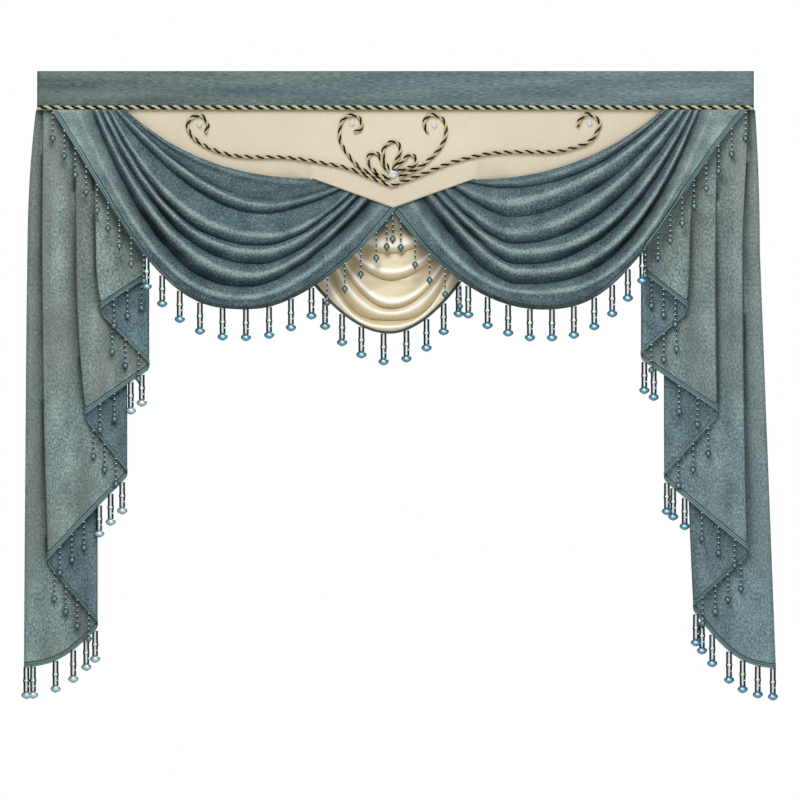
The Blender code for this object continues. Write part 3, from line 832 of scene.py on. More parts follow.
@dataclass(frozen=True)
class GlassBead(Finish):
    """Coloured glass with a hard gloss, a little different from bead to bead. Its colour carries
    painted shade towards the rim and a painted highlight in the middle, by how it faces the camera.
    """

    body: Color = (0.045, 0.23, 0.34)
    other: Color = (0.085, 0.33, 0.43)
    rim: Color = (0.004, 0.028, 0.042)
    coat: float = 1.0
    gloss: float = 1.0
    coat_roughness: float = 0.1
    metal: float = 0.0
    facing_highlight: Color = (0.7, 0.9, 1.0)
    facing_highlight_share: float = 0.0

    def dress(self, shader: Shader, surface: Node) -> None:
        """Add the colour and the gloss.

        Args:
            shader: Adds the nodes.
            surface: The surface shader.
        """
        share = shader.span(shader.noise(shader.object_place(), 55.0, 1.0), 0.35, 0.65, 0.0, 1.0)
        colour = shader.blend(share, self.body, self.other)
        # Painted shade towards the rim and a painted highlight in the middle, by how squarely each point
        # faces the camera.
        facing = shader.node("ShaderNodeLayerWeight", {"Blend": 0.5}).outputs["Facing"]
        colour = shader.blend(shader.span(facing, 0.25, 0.75, 0.0, 1.0), colour, self.rim)
        colour = shader.blend(shader.span(facing, 0.01, 0.16, self.facing_highlight_share, 0.0), colour, self.facing_highlight)
        put(shader, colour, surface, "Base Color")
        settle(surface, {
            "Metallic": self.metal, "Specular IOR Level": self.gloss, "Coat Weight": self.coat,
            "Coat Roughness": self.coat_roughness,
        })


@dataclass(frozen=True)
class CutCrystal(Finish):
    """Foil-backed cut glass: bright facets with a cool tint."""

    body: Color = (0.97, 0.98, 1.0)
    tint: Color = (0.74, 0.72, 0.84)

    def dress(self, shader: Shader, surface: Node) -> None:
        """Add the facets' changing brightness.

        Args:
            shader: Adds the nodes.
            surface: The surface shader.
        """
        share = shader.span(shader.noise(shader.object_place(), 420.0, 1.0), 0.4, 0.6, 0.0, 1.0)
        put(shader, shader.blend(share, self.body, self.tint), surface, "Base Color")
        settle(surface, {"Metallic": 0.3, "Coat Weight": 1.0, "Coat Roughness": 0.02})


@dataclass(frozen=True)
class Plain(Finish):
    """The studio floor's even matt paint, with a faint unevenness."""

    body: Color = (0.9, 0.9, 0.9)
    patchy: Color = (0.8, 0.8, 0.8)

    def dress(self, shader: Shader, surface: Node) -> None:
        """Add the paint.

        Args:
            shader: Adds the nodes.
            surface: The surface shader.
        """
        share = shader.span(shader.noise(shader.object_place(), 3.0), 0.3, 0.7, 0.0, 0.04)
        put(shader, shader.blend(share, self.body, self.patchy), surface, "Base Color")


SWAG_FACE = Chenille(
    "swag chenille", 0.85, shadow=(0.032, 0.059, 0.072), body=(0.077, 0.127, 0.141),
    light=(0.18, 0.245, 0.25), crease=(0.002, 0.006, 0.009), painted_highlight=(0.40, 0.485, 0.45), crease_shade_share=0.98,
    painted_highlight_share=0.66, sheen=0.15, patches=0.55, speckle_scale=175.0, speckle=0.95,
)
SWAG_BACK = Chenille(
    "swag lining side", 0.85, shadow=(0.03, 0.05, 0.065), body=(0.06, 0.10, 0.12), light=(0.09, 0.14, 0.16),
    painted_highlight_share=0.1, sheen=0.1,
)
LEFT_TAIL_FACE = Chenille(
    "left tail chenille", 0.85, shadow=(0.112, 0.165, 0.165), body=(0.222, 0.287, 0.27),
    light=(0.39, 0.455, 0.405), crease=(0.012, 0.018, 0.02), grain=(1.2, 0.75, 1.0), patches=0.55,
    speckle_scale=190.0, speckle=1.15, sheen=0.15, faded=(0.18, 0.185, 0.145), faded_share=0.55,
    tint=(0.96, 1.04, 1.08),
)
RIGHT_TAIL_FACE = replace(
    LEFT_TAIL_FACE, name="right tail chenille", shadow=(0.105, 0.155, 0.155), body=(0.21, 0.27, 0.252),
    light=(0.37, 0.43, 0.38), faded_share=0.4, tint=(0.76, 0.93, 1.12),
)
TAIL_BACK = Chenille(
    "tail reverse", 0.85, shadow=(0.062, 0.10, 0.118), body=(0.13, 0.198, 0.22), light=(0.22, 0.30, 0.315),
    grain=(1.2, 0.75, 1.0), patches=0.6, speckle_scale=190.0, sheen=0.12,
)
# The band's tint darkens it towards its left end: painted shade.
BAND_FACE = Chenille(
    "band chenille", 0.85, shadow=(0.08, 0.13, 0.142), body=(0.133, 0.195, 0.208),
    light=(0.22, 0.285, 0.285), grain=(0.25, 2.4, 1.0), patch_scale=12.0, patches=0.95, speckle=1.3,
    painted_highlight_share=0.4, sheen=0.1, tint=(0.75, 0.71, 0.66), tint_axis=0, tint_from=0.85, tint_to=-0.9,
)
CREAM_LINEN = Linen("cream linen", 0.9)
CREAM_SATIN = Satin("cream satin", 0.32)
TEAL_BRAID = Braid("teal braid", 0.55)
GOLD_YARN = CordYarn("gold cord", 0.5, body=(0.92, 0.83, 0.46), stripe=(0.52, 0.45, 0.20))
BLACK_YARN = CordYarn(
    "black cord", 0.6, body=(0.006, 0.006, 0.005), stripe=(0.002, 0.002, 0.002), gloss=0.12, sheen=0.0,
)
# Dark beads of the slim strings, and the two rods of a free drop, which stand in for the dark refracted edges
# of clear glass: painted shade.
DARK_BEAD_AND_EDGE_SHADE = GlassBead(
    "dark bugle bead", 0.25, body=(0.004, 0.007, 0.01), other=(0.006, 0.012, 0.016),
    rim=(0.002, 0.003, 0.004), coat=0.0, gloss=0.3,
)
# The pale core between a free drop's rods stands in for the light through clear glass, with a painted
# highlight where it faces the camera. It also makes the glint bead.
PALE_CORE = GlassBead(
    "pale glass core", 0.15, body=(0.66, 0.82, 0.82), other=(0.80, 0.90, 0.90), rim=(0.09, 0.27, 0.31),
    coat=0.5, facing_highlight=(0.96, 1.0, 1.0), facing_highlight_share=0.9,
)
BLUE_BEAD = GlassBead(
    "blue bead", 0.34, body=(0.07, 0.34, 0.50), other=(0.11, 0.42, 0.57), rim=(0.004, 0.045, 0.075),
    metal=0.5, facing_highlight=(0.62, 0.88, 1.0), facing_highlight_share=0.85,
)
SILVER_BEAD = GlassBead(
    "silver blue bead", 0.34, body=(0.40, 0.64, 0.72), other=(0.55, 0.74, 0.80), rim=(0.04, 0.14, 0.19),
    metal=0.5, facing_highlight=(0.86, 0.97, 1.0), facing_highlight_share=0.85,
)
# Pale pinkish seed beads: the top bead of a free drop, and in the slim strings beads that stand in for glints
# on clear glass: painted highlight.
CLEAR_BEAD = GlassBead(
    "clear seed bead", 0.15, body=(0.76, 0.66, 0.68), other=(0.60, 0.72, 0.72), rim=(0.2, 0.2, 0.2),
)
SEA_BEAD = GlassBead(
    "sea green bead", 0.2, body=(0.035, 0.085, 0.105), other=(0.075, 0.17, 0.19), rim=(0.002, 0.008, 0.012),
    coat=0.45, gloss=0.5, coat_roughness=0.2, facing_highlight=(0.30, 0.45, 0.48), facing_highlight_share=0.6,
)
CRYSTAL = CutCrystal("cut crystal", 0.06)
FLOOR = Plain("pale floor", 0.9)
FRINGE_FINISHES = [TEAL_BRAID, DARK_BEAD_AND_EDGE_SHADE, PALE_CORE, BLUE_BEAD, CLEAR_BEAD, SEA_BEAD]
SILVER_FRINGE_FINISHES = [TEAL_BRAID, DARK_BEAD_AND_EDGE_SHADE, PALE_CORE, SILVER_BEAD, CLEAR_BEAD, SEA_BEAD]


# The panel's shape, which the swags and the ornaments follow


@dataclass(frozen=True)
class PanelShape:
    """The cream panel's slanted lower edge and how far the panel stands forward."""

    point_x: float = -6
    point_z: float = -342
    left_shoulder_x: float = -204
    right_shoulder_x: float = 196
    shoulder_z: float = -270
    left_end_x: float = -691
    right_end_x: float = 685
    stand_at_seam: float = 2
    stand_at_point: float = 19.4
    flat_reach: float = 180
    fade_reach: float = 110
    fall_run: float = 150
    thickness: float = 1.8

    def shoulder_x(self, x: Array | float) -> Array:
        """Return the X of the shoulder on the same side as X."""
        return np.where(np.asarray(x) < self.point_x, self.left_shoulder_x, self.right_shoulder_x)

    def past_shoulder(self, x: Array) -> Array:
        """Return how far X lies past the shoulder on its side."""
        return (x - self.shoulder_x(x)) * np.where(x < self.point_x, -1, 1)

    def edge_z(self, x: Array | float) -> Array:
        """Return the height of the slanted edge, also past its shoulders."""
        slope = (self.point_z - self.shoulder_z) / (self.point_x - self.shoulder_x(x))
        return self.point_z + slope * (np.asarray(x) - self.point_x)

    def stand(self, x: Array | float, z: Array | float) -> Array:
        """Return how far the panel's middle surface stands forward.

        Args:
            x: X on the panel.
            z: Height on the panel.

        Returns:
            The stand there.
        """
        sideways = 1 - smooth((np.abs(np.asarray(x) - self.point_x) - self.flat_reach) / self.fade_reach)
        downwards = smooth((SEAM_Z - np.asarray(z)) / self.fall_run)
        return self.stand_at_seam + (self.stand_at_point - self.stand_at_seam) * sideways * downwards


PANEL = PanelShape()


# Swags


class LineKind(Enum):
    """What a swag's fold line is: this sets how the cloth curves to and from it."""

    EDGE = "edge"
    RIDGE = "ridge"
    HOLLOW = "hollow"
    CREASE = "crease"
    CLEFT = "cleft"


@dataclass(frozen=True)
class FoldLine:
    """One fold line of a side swag, from the heading over its lowest point to its end behind the panel."""

    kind: LineKind
    outer_x: float
    low_x: float
    low_z: float
    inner_x: float
    bow_start: float
    bow_end: float
    inner_bow: float
    end_stand: float
    stand: float

    def height(self, x: Array | float) -> Array:
        """Return the height of the line's outer half at X.

        Args:
            x: X on the line's outer half.

        Returns:
            The height there.
        """
        t = np.clip((np.asarray(x) - self.outer_x) / (self.low_x - self.outer_x), 0.0, 1.0)
        bow = mix(self.bow_start, self.bow_end, t)
        return mix(SEAM_Z, self.low_z, 1 - (1 - t) ** bow)


EDGE, RIDGE, HOLLOW, CREASE, CLEFT = LineKind
CREASES = (CREASE, CLEFT)

LEFT_LINES = [FoldLine(*row) for row in (
    (EDGE, -674, -204, -269, -179, 2.5, 2.2, 1.6, 14, 28),
    (RIDGE, -678, -219, -278, -169, 2.4, 2.1, 1.6, 16, 40),
    (HOLLOW, -682, -251, -297, -156, 2.1, 2.0, 1.6, 13, 32),
    (CREASE, -688, -309, -325, -136, 1.8, 1.8, 1.6, 12, 28),
    (RIDGE, -695, -321, -336, -126, 1.6, 1.75, 1.6, 17, 48),
    (CREASE, -702, -334, -355, -119, 1.8, 1.8, 1.6, 12, 38),
    (HOLLOW, -708, -319, -382, -113, 2.1, 2.0, 1.7, 13, 40),
    (RIDGE, -714, -309, -412, -107, 2.5, 2.3, 1.7, 17, 58),
    (CREASE, -722, -329, -435, -99, 2.4, 2.5, 1.7, 12, 42),
    (RIDGE, -730, -334, -451, -91, 2.3, 2.3, 1.7, 17, 60),
    (CLEFT, -739, -344, -482, -82, 2.3, 2.2, 1.7, 12, 49),
    (RIDGE, -748, -359, -512, -69, 2.2, 1.9, 1.65, 17, 68),
    (CLEFT, -758, -374, -540, -54, 2.3, 2.2, 1.6, 12, 54),
    (RIDGE, -796, -364, -568, -25, 2.2, 2.5, 1.6, 16, 76),
    (HOLLOW, -829, -366, -585, -6, 1.9, 2.5, 1.7, 15.5, 74),
    (EDGE, -860, -369, -596, 15, 1.5, 2.6, 1.8, 15.5, 62),
)]

RIGHT_LINES = [FoldLine(*row) for row in (
    (EDGE, 668, 200, -271, 174, 2.3, 2.1, 1.5, 14, 28),
    (RIDGE, 673, 230, -281, 166, 2.2, 2.1, 1.5, 16, 40),
    (CREASE, 680, 273, -292, 151, 2.1, 2.1, 1.5, 12, 27),
    (RIDGE, 696, 274, -330, 139, 1.9, 1.6, 1.5, 17, 50),
    (CREASE, 708, 286, -365, 129, 2.1, 1.8, 1.45, 12, 36),
    (RIDGE, 718, 286, -405, 116, 1.9, 1.9, 1.4, 17, 58),
    (CREASE, 729, 281, -430, 108, 2.2, 2.3, 1.4, 12, 40),
    (RIDGE, 738, 296, -451, 97, 2.4, 2.7, 1.4, 17, 62),
    (CLEFT, 746, 296, -484, 88, 2.4, 2.4, 1.35, 12, 49),
    (RIDGE, 753, 301, -501, 80, 2.8, 2.9, 1.35, 17, 68),
    (CLEFT, 761, 306, -532, 63, 2.7, 2.8, 1.6, 11, 54),
    (RIDGE, 791, 336, -554, 35, 2.5, 2.8, 2.1, 13, 76),
    (HOLLOW, 826, 355, -574, 6, 1.9, 2.55, 2.1, 11, 76),
    (EDGE, 879, 374, -597, -20, 1.1, 2.25, 2.05, 10.5, 62),
)]


@dataclass(frozen=True)
class FoldShares:
    """Where the painted highlight and the painted shade lie between two fold lines, as shares of the way, and
    how they fade.
    """

    crest_to_ridge: float = 0.26
    crest_past_ridge: float = 0.22
    soft_crest_to_ridge: float = 0.3
    soft_crest_past_ridge: float = 0.4
    hollow_from: float = 0.04
    crease_hollow: float = 0.5
    cleft_hollow: float = 0.36
    crease_fade: float = 1.2
    cleft_fade: float = 1.0
    flat_fade: float = 2.5


FOLDS = FoldShares()
LEAST_ROWS = 4


@dataclass(frozen=True)
class CrossProfile:
    """How the cloth curves from one fold line to the next, as arrays over the rows between them."""

    down: Array
    rise: Array
    hollow: Array
    crest: Array

    @staticmethod
    def between(
        first: LineKind, second: LineKind, steps: int, overhang: float, roundness: float
    ) -> "CrossProfile":
        """Return the curve between two kinds of line.

        Args:
            first: The upper line's kind.
            second: The lower line's kind.
            steps: Number of rows, the lower line's own row not counted.
            overhang: How far a ridge hangs over the crease below it, as a share of the distance.
            roundness: From 0 for cloth that runs straight from a crease to the next ridge, to 1 for round.

        Returns:
            Shares of the way down and of the change of stand, with the masks of painted shade and painted
            highlight.
        """
        turn = np.arange(steps) / steps
        quarter = turn * math.pi / 2
        zero = np.zeros(steps)
        if first in CREASES and second not in CREASES:
            down, rise = mix(turn, 1 - np.cos(quarter), roundness), mix(turn, np.sin(quarter), roundness)
            hollow = (1 - turn) ** (FOLDS.cleft_fade if first is CLEFT else FOLDS.crease_fade)
            crest = 1 - smooth((1 - turn) / FOLDS.crest_to_ridge) if second is RIDGE else zero
        elif second in CREASES:
            down, rise = np.sin(quarter), 1 - np.cos(quarter)
            if first is RIDGE:
                down = down + overhang * np.sin(math.pi * turn) * turn
            spread = FOLDS.cleft_hollow if second is CLEFT else FOLDS.crease_hollow
            hollow = smooth((turn - FOLDS.hollow_from) / spread) if first is RIDGE else turn**FOLDS.flat_fade
            crest = 1 - smooth(turn / FOLDS.crest_past_ridge) if first is RIDGE else zero
        else:
            down, rise = turn, smooth(turn)
            hollow = zero
            crest = zero
            if second is RIDGE:
                crest = 1 - smooth((1 - turn) / FOLDS.soft_crest_to_ridge)
            elif first is RIDGE:
                crest = 1 - smooth(turn / FOLDS.soft_crest_past_ridge)
        return CrossProfile(down, rise, hollow, crest)


@dataclass(frozen=True)
class HemDrops:
    """Where a swag's drops hang: how many on the outer slant and the bottom, and the X of the inner ones."""

    outer: int
    bottom_from: float
    bottom: int
    bottom_to: float
    inner: tuple[float, ...]
    outer_span: tuple[float, float] = (0.012, 0.975)


def woven_rows(
    lines: Sequence[Array], kinds: Sequence[LineKind], step: float, overhang: float, roundness: float
) -> tuple:
    """Fill the cloth in between its fold lines.

    Args:
        lines: Each fold line's points, with the same number of columns in all.
        kinds: Each line's kind.
        step: About how far apart the rows lie.
        overhang: How far a ridge hangs over the crease below it.
        roundness: How round the cloth runs from a crease to the ridge below it.

    Returns:
        The grid of points, and the hollow and crest masks of painted shade and painted highlight.
    """
    rows, hollows, crests = [], [], []
    for upper, lower, first, second in zip(lines, lines[1:], kinds, kinds[1:]):
        middle = len(upper) // 2
        steps = max(LEAST_ROWS, round(float(np.linalg.norm(lower[middle] - upper[middle])) / step))
        profile = CrossProfile.between(first, second, steps, overhang, roundness)
        for down, rise, hollow, crest in zip(profile.down, profile.rise, profile.hollow, profile.crest):
            point = upper + (lower - upper) * down
            point[:, 1] = mix(upper[:, 1], lower[:, 1], rise)
            rows.append(point)
            hollows.append(np.full(len(point), hollow))
            crests.append(np.full(len(point), crest))
    rows.append(lines[-1].copy())
    hollows.append(np.zeros(len(lines[-1])))
    crests.append(np.zeros(len(lines[-1])))
    return np.array(rows), np.array(hollows), np.array(crests)


def rumpled(
    grid: Array, noise: SoftNoise, layers: Sequence[tuple[float, float, float]], fade: Array
) -> Array:
    """Press soft unevenness into a grid of cloth.

    Args:
        grid: The cloth's points.
        noise: Where the unevenness comes from.
        layers: For each layer of it, its height, its length along the folds and its length across them.
        fade: How much of it shows at each point.

    Returns:
        The moved points.
    """
    u, v = grid_lengths(grid)
    lift = sum(
        height * noise.at(u / long + 7.3 * k, v / wide + 3.1 * k)
        for k, (height, long, wide) in enumerate(layers)
    )
    return grid + grid_normals(grid) * (lift * fade)[..., None]


@dataclass
class SideSwag:
    """A blue swag: cloth draped from the heading to behind the panel's edge."""

    name: str
    lines: Sequence[FoldLine]
    drops: HemDrops
    seed: int
    outer_columns: int = 92
    inner_columns: int = 60
    tucked_columns: int = 4
    least_emerge: float = 0.6
    row_step: float = 3.6
    overhang: float = 0.25
    roundness: float = 0.8
    thickness: float = 1.6
    tuck_at_shoulder: float = 18
    tuck_at_point: float = 6
    emerge: float = 4
    emerge_run: float = 120
    fall_run: float = 350
    belly_x: float = 335
    belly_ease: float = 0.45
    belly_narrow: float = 1.6
    belly_reach: float = 130
    top_ease: float = 0.36
    top_rows: int = 12
    top_dull: float = 0.45
    top_from: float = -170
    top_run: float = 190
    ease_columns: int = 9
    ease_sharpness: float = 1.7
    ease_spread: float = 1.3
    flat_rows: int = 26
    # How much the flat band beside the hem is lightened with the highlight colour, and where.
    flat_lightening: float = 0.66
    flat_lightening_from: float = -500
    flat_lightening_run: float = 320
    panel_dull: float = 0.3
    panel_dull_reach: float = 170
    press_fall: float = 50
    press_reach: float = 45
    rumple_fall: float = 120
    rumple_reach: float = 60
    rumples: tuple = ((1.6, 90, 34), (0.7, 34, 12), (0.35, 14, 6))
    wear_size: tuple[float, float] = (45, 30)
    patchy_seed: int = 50
    # How strong the painted shade and painted highlight are, and how much soft patches change them.
    hollow_share: float = 0.9
    shade_patchiness: float = 0.22
    crest_share: float = 1.05
    highlight_patchiness: float = 0.45
    press: dict[LineKind, float] = field(default_factory=lambda: {
        LineKind.EDGE: 0.0, LineKind.RIDGE: 3.0, LineKind.HOLLOW: -3.0, LineKind.CREASE: -8.0,
        LineKind.CLEFT: -9.0,
    })

    def side(self) -> int:
        """Return -1 for the left swag and 1 for the right one."""
        return -1 if self.lines[0].outer_x < 0 else 1

    def stand(self, line: FoldLine, x: Array, z: Array) -> Array:
        """Return a line's stand: low at both its ends and full in the belly, its creases pressed in.

        Args:
            line: The fold line.
            x: X along it.
            z: Its heights.

        Returns:
            Its stand at each point.
        """
        fallen = smooth((SEAM_Z - z) / self.fall_run)
        below_edge = PANEL.edge_z(x) - z - self.emerge
        emerged = smooth(below_edge / self.emerge_run)
        shown = smooth((SEAM_Z - z) / self.press_fall) * smooth(below_edge / self.press_reach)
        return mix(line.end_stand, line.stand, fallen * emerged) + self.press[line.kind] * shown

    def inner_half(self, line: FoldLine, t: Array) -> tuple[Array, Array]:
        """Return X and Z at a share of the line's inner half.

        Args:
            line: The fold line.
            t: Shares from its lowest point to its inner end.

        Returns:
            X and Z at each share.
        """
        shoulder = PANEL.shoulder_x(line.inner_x)
        toward = np.clip((line.inner_x - shoulder) / (PANEL.point_x - shoulder), 0.0, 1.0)
        end_z = PANEL.edge_z(line.inner_x) + mix(self.tuck_at_shoulder, self.tuck_at_point, toward)
        return mix(line.low_x, line.inner_x, t), mix(line.low_z, end_z, t**line.inner_bow)

    def trace(self, line: FoldLine) -> Array:
        """Return the points of one fold line.

        Args:
            line: The fold line.

        Returns:
            Its points, from the heading to its inner end.
        """
        xs = np.linspace(line.outer_x, line.low_x, 400)
        outer = np.stack([xs, line.height(xs)], axis=1)
        outer = along(outer, np.linspace(0, distances(outer)[-1], self.outer_columns + 1))[:-1]
        share = np.linspace(0, 1, 2000)
        x, z = self.inner_half(line, share)
        shown = share[z < PANEL.edge_z(x) - self.emerge]
        emerge = max(float(shown[-1]) if len(shown) else 0.0, self.least_emerge)
        shares = np.concatenate([
            np.linspace(0, emerge, self.inner_columns), np.linspace(emerge, 1.0, self.tucked_columns + 1)[1:],
        ])
        inner = np.stack(self.inner_half(line, shares), axis=1)
        x, z = np.concatenate([outer, inner]).T
        z = self.eased(z)
        return np.stack([x, -self.stand(line, x, z), z], axis=1)

    def eased(self, z: Array) -> Array:
        """Return a line's heights with its lowest point rounded where its two halves meet.

        Args:
            z: The line's heights, point by point.

        Returns:
            The rounded heights.
        """
        reach = np.arange(-self.ease_columns, self.ease_columns + 1)
        weights = np.exp(-((reach / self.ease_columns * self.ease_sharpness) ** 2))
        soft = np.convolve(np.pad(z, self.ease_columns, mode="edge"), weights / weights.sum(), "valid")
        from_lowest = np.arange(len(z)) - self.outer_columns
        return mix(z, soft, np.exp(-((from_lowest / (self.ease_spread * self.ease_columns)) ** 2)))

    def cloth(self) -> ClothSheet:
        """Return the draped cloth.

        Returns:
            The cloth with its masks.
        """
        traced = [self.trace(line) for line in self.lines]
        kinds = [line.kind for line in self.lines]
        grid, hollow, crest = woven_rows(traced, kinds, self.row_step, self.overhang, self.roundness)
        x, z = grid[..., 0], grid[..., 2]
        fallen = smooth((SEAM_Z - z) / self.rumple_fall) * smooth((PANEL.edge_z(x) - z) / self.rumple_reach)
        grid = rumpled(grid, SoftNoise(self.seed), self.rumples, fallen)
        hollow, crest = self.masks(grid, hollow, crest)
        return ClothSheet(grid, self.thickness, self.side(), hollow, crest)

    def masks(self, grid: Array, hollow: Array, crest: Array) -> tuple[Array, Array]:
        """Return the painted shade and painted highlight masks: softer in the belly, at the top and beside
        the panel.

        Args:
            grid: The cloth's points.
            hollow: How much painted shade each point gets.
            crest: How much painted highlight each point gets.

        Returns:
            The hollow and crest masks.
        """
        x, z = grid[..., 0], grid[..., 2]
        # The flat band of the last rows, beside the hem, is lightened with the highlight colour through the
        # crest mask.
        flat_part = np.arange(len(grid))[:, None] >= len(grid) - self.flat_rows
        lightened = self.flat_lightening * smooth((z - self.flat_lightening_from) / self.flat_lightening_run)
        crest = np.maximum(crest, lightened * flat_part * (1 - hollow))
        # Soft patches that make the painted shade and painted highlight uneven.
        patchy = SoftNoise(self.seed + self.patchy_seed).at(x / self.wear_size[0], z / self.wear_size[1])
        belly = np.exp(-(((x - self.side() * self.belly_x) / self.belly_reach) ** 2))
        is_outer = np.arange(grid.shape[1])[None, :] < self.outer_columns
        below_top = smooth((self.top_from - z) / self.top_run)
        near_top = 1 - self.top_ease * np.where(is_outer, 1 - below_top, 0)
        # Painted shade, eased in the belly and near the top.
        hollow = hollow ** (1 + self.belly_narrow * belly) * (1 - self.belly_ease * belly)
        hollow = np.clip(hollow * (self.hollow_share + self.shade_patchiness * patchy) * near_top, 0, 1)
        # Painted highlight, dulled beside the panel and in the top rows.
        below_panel = smooth((PANEL.edge_z(x) - z) / self.panel_dull_reach)
        dulled = np.where(is_outer, 1.0, mix(self.panel_dull, 1.0, below_panel)) * np.ones_like(crest)
        dulled[: self.top_rows] *= self.top_dull
        return hollow, np.clip(crest * (self.crest_share + self.highlight_patchiness * patchy) * dulled, 0, 1)

    def build(self) -> list[Piece]:
        """Make the swag and its fringe.

        Returns:
            The swag and its fringe.
        """
        cloth = self.cloth()
        piece = cloth.geometry().build(f"swag_cloth_{self.name}", [SWAG_FACE, SWAG_BACK])
        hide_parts(f"swag_{self.name}")
        label = f"bead_fringe_swag_{self.name}"
        drops = swag_drops(cloth.grid[-1], self.drops)
        fringe = BeadFringe(label, cloth, drops, self.seed, roll_at_bottom=True)
        beads = fringe.build(f"fringe_swag_{self.name}")
        return [piece, beads]


@dataclass(frozen=True)
class CentreLine:
    """One fold line of the centre swag, between its hidden ends."""

    kind: LineKind
    left_x: float
    left_z: float
    low_x: float
    low_z: float
    right_x: float
    right_z: float
    bow: float
    end_stand: float
    stand: float


CENTRE_LINES = [CentreLine(*row) for row in (
    (EDGE, -109, -287, -6, -295, 96, -287, 2.0, 9.6, 9.6),
    (HOLLOW, -111, -340, -8, -350, 98, -332, 2.0, 5, 3),
    (RIDGE, -118, -414, -12, -437, 104, -385, 2.0, 5, 13),
    (CREASE, -122, -415, -12, -456, 106, -397, 2.0, 4, 3),
    (RIDGE, -134, -417, -14, -502, 113, -431, 2.0, 4, 21),
    (CREASE, -139, -426, -12, -521, 116, -445, 2.0, 4, 7),
    (RIDGE, -150, -436, -9, -578, 123, -474, 2.0, 4, 28),
    (CREASE, -155, -446, -10, -592, 128, -479, 2.1, 4, 16),
    (RIDGE, -162, -458, -13, -605, 133, -483, 2.3, 4, 27),
    (CREASE, -171, -480, -15, -623, 138, -488, 3.2, 4, 15),
    (RIDGE, -184, -492, -20, -640, 146, -494, 2.5, 4, 31),
    (EDGE, -222, -512, -16, -656, 182, -502, 1.9, 4, 22),
)]


@dataclass
class CentreSwag:
    """The small satin swag that shows between the blue ones."""

    lines: Sequence[CentreLine] = field(default_factory=lambda: CENTRE_LINES)
    half_columns: int = 44
    row_step: float = 2.6
    overhang: float = 0.1
    roundness: float = 0.15
    thickness: float = 1.2
    drops_from: float = -176
    drops_to: float = 158
    drop_count: int = 8
    seed: int = 31
    rumples: tuple = ((1.2, 60, 22), (0.4, 22, 9))
    shade_to: float = -442
    shade_run: float = 46
    crease_shade_share: float = 0.75
    crease_power: float = 0.7
    middle_ease: float = 0.45
    middle_reach: float = 75

    def trace(self, line: CentreLine) -> Array:
        """Return the points of one fold line.

        Args:
            line: The fold line.

        Returns:
            Its points, from left to right.
        """
        t = np.abs(np.linspace(-1, 1, 2 * self.half_columns + 1))
        left = np.arange(len(t)) < self.half_columns
        x = mix(line.low_x, np.where(left, line.left_x, line.right_x), t)
        z = mix(line.low_z, np.where(left, line.left_z, line.right_z), t**line.bow)
        return np.stack([x, -mix(line.stand, line.end_stand, smooth(t)), z], axis=1)

    def build(self) -> list[Piece]:
        """Make the swag and its fringe.

        Returns:
            The swag and its fringe.
        """
        traced = [self.trace(line) for line in self.lines]
        kinds = [line.kind for line in self.lines]
        grid, hollow, crest = woven_rows(traced, kinds, self.row_step, self.overhang, self.roundness)
        grid = rumpled(grid, SoftNoise(self.seed), self.rumples, np.ones(grid.shape[:2]))
        # Painted shade: in the creases, eased in the middle, and at the top where the satin runs under the
        # panel's point.
        top_shade = smooth((grid[..., 2] - self.shade_to) / self.shade_run)
        middle = np.exp(-((grid[..., 0] / self.middle_reach) ** 2))
        creased = self.crease_shade_share * hollow**self.crease_power
        hollow = np.maximum(creased * (1 - self.middle_ease * middle), top_shade)
        cloth = ClothSheet(grid, self.thickness, -1, hollow, crest)
        piece = cloth.geometry().build("swag_cloth_centre", [CREAM_SATIN, CREAM_SATIN])
        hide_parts("swag_centre")
        drops = even_drops(cloth.grid[-1], self.drops_from, self.drops_to, self.drop_count)
        fringe = BeadFringe("bead_fringe_centre", cloth, drops, self.seed, width=7, proud=1.3, shade_all=0.85)
        beads = fringe.build("fringe_centre")
        return [piece, beads]


# Cascade tails


@dataclass(frozen=True)
class TailEdge:
    """One edge of a tail's layers, a free edge or a fold: its X at the heading, lower down and at the hem.

    With a larger flare it swings out later on its way to the hem. With an early of 1 it swings out at once
    under the heading.
    """

    top_x: float
    mid_x: float
    hem_x: float
    hem_z: float
    flare: float = 2
    early: float = 0


LEFT_TAIL = [TailEdge(*row) for row in (
    (-714, -619, -619, -515),
    (-756, -750, -735, -602),
    (-706, -616, -616, -737),
    (-801, -799, -774, -867),
    (-729, -671, -671, -1007),
    (-881, -884, -869, -1228),
    (-761, -745, -745, -1385),
    (-899, -920, -929, -1490, 0.7, 1),
)]

RIGHT_TAIL = [TailEdge(*row) for row in (
    (716, 626, 626, -510),
    (756, 736, 728, -598),
    (711, 614, 614, -712),
    (804, 801, 805, -858),
    (731, 671, 672, -1015),
    (881, 869, 881, -1205),
    (761, 722, 745, -1343),
    (899, 911, 951, -1493, 1, 1),
)]


@dataclass(frozen=True)
class LayerDrops:
    """Where a tail layer's drops hang, as shares of the layer's hem."""

    free: tuple[float, ...]
    over_cloth: tuple[float, ...]


LEFT_TAIL_DROPS = [LayerDrops(*row) for row in (
    ((), (0.14, 0.44, 0.74)),
    ((), (0.2, 0.5, 0.8)),
    ((0.09, 0.27), (0.54, 0.78)),
    ((), (0.15, 0.45, 0.75)),
    ((0.04, 0.19, 0.34), (0.54, 0.7, 0.86)),
    ((), (0.1, 0.35, 0.6, 0.85)),
    ((0.01, 0.155, 0.36, 0.61, 0.89, 0.97), ()),
)]

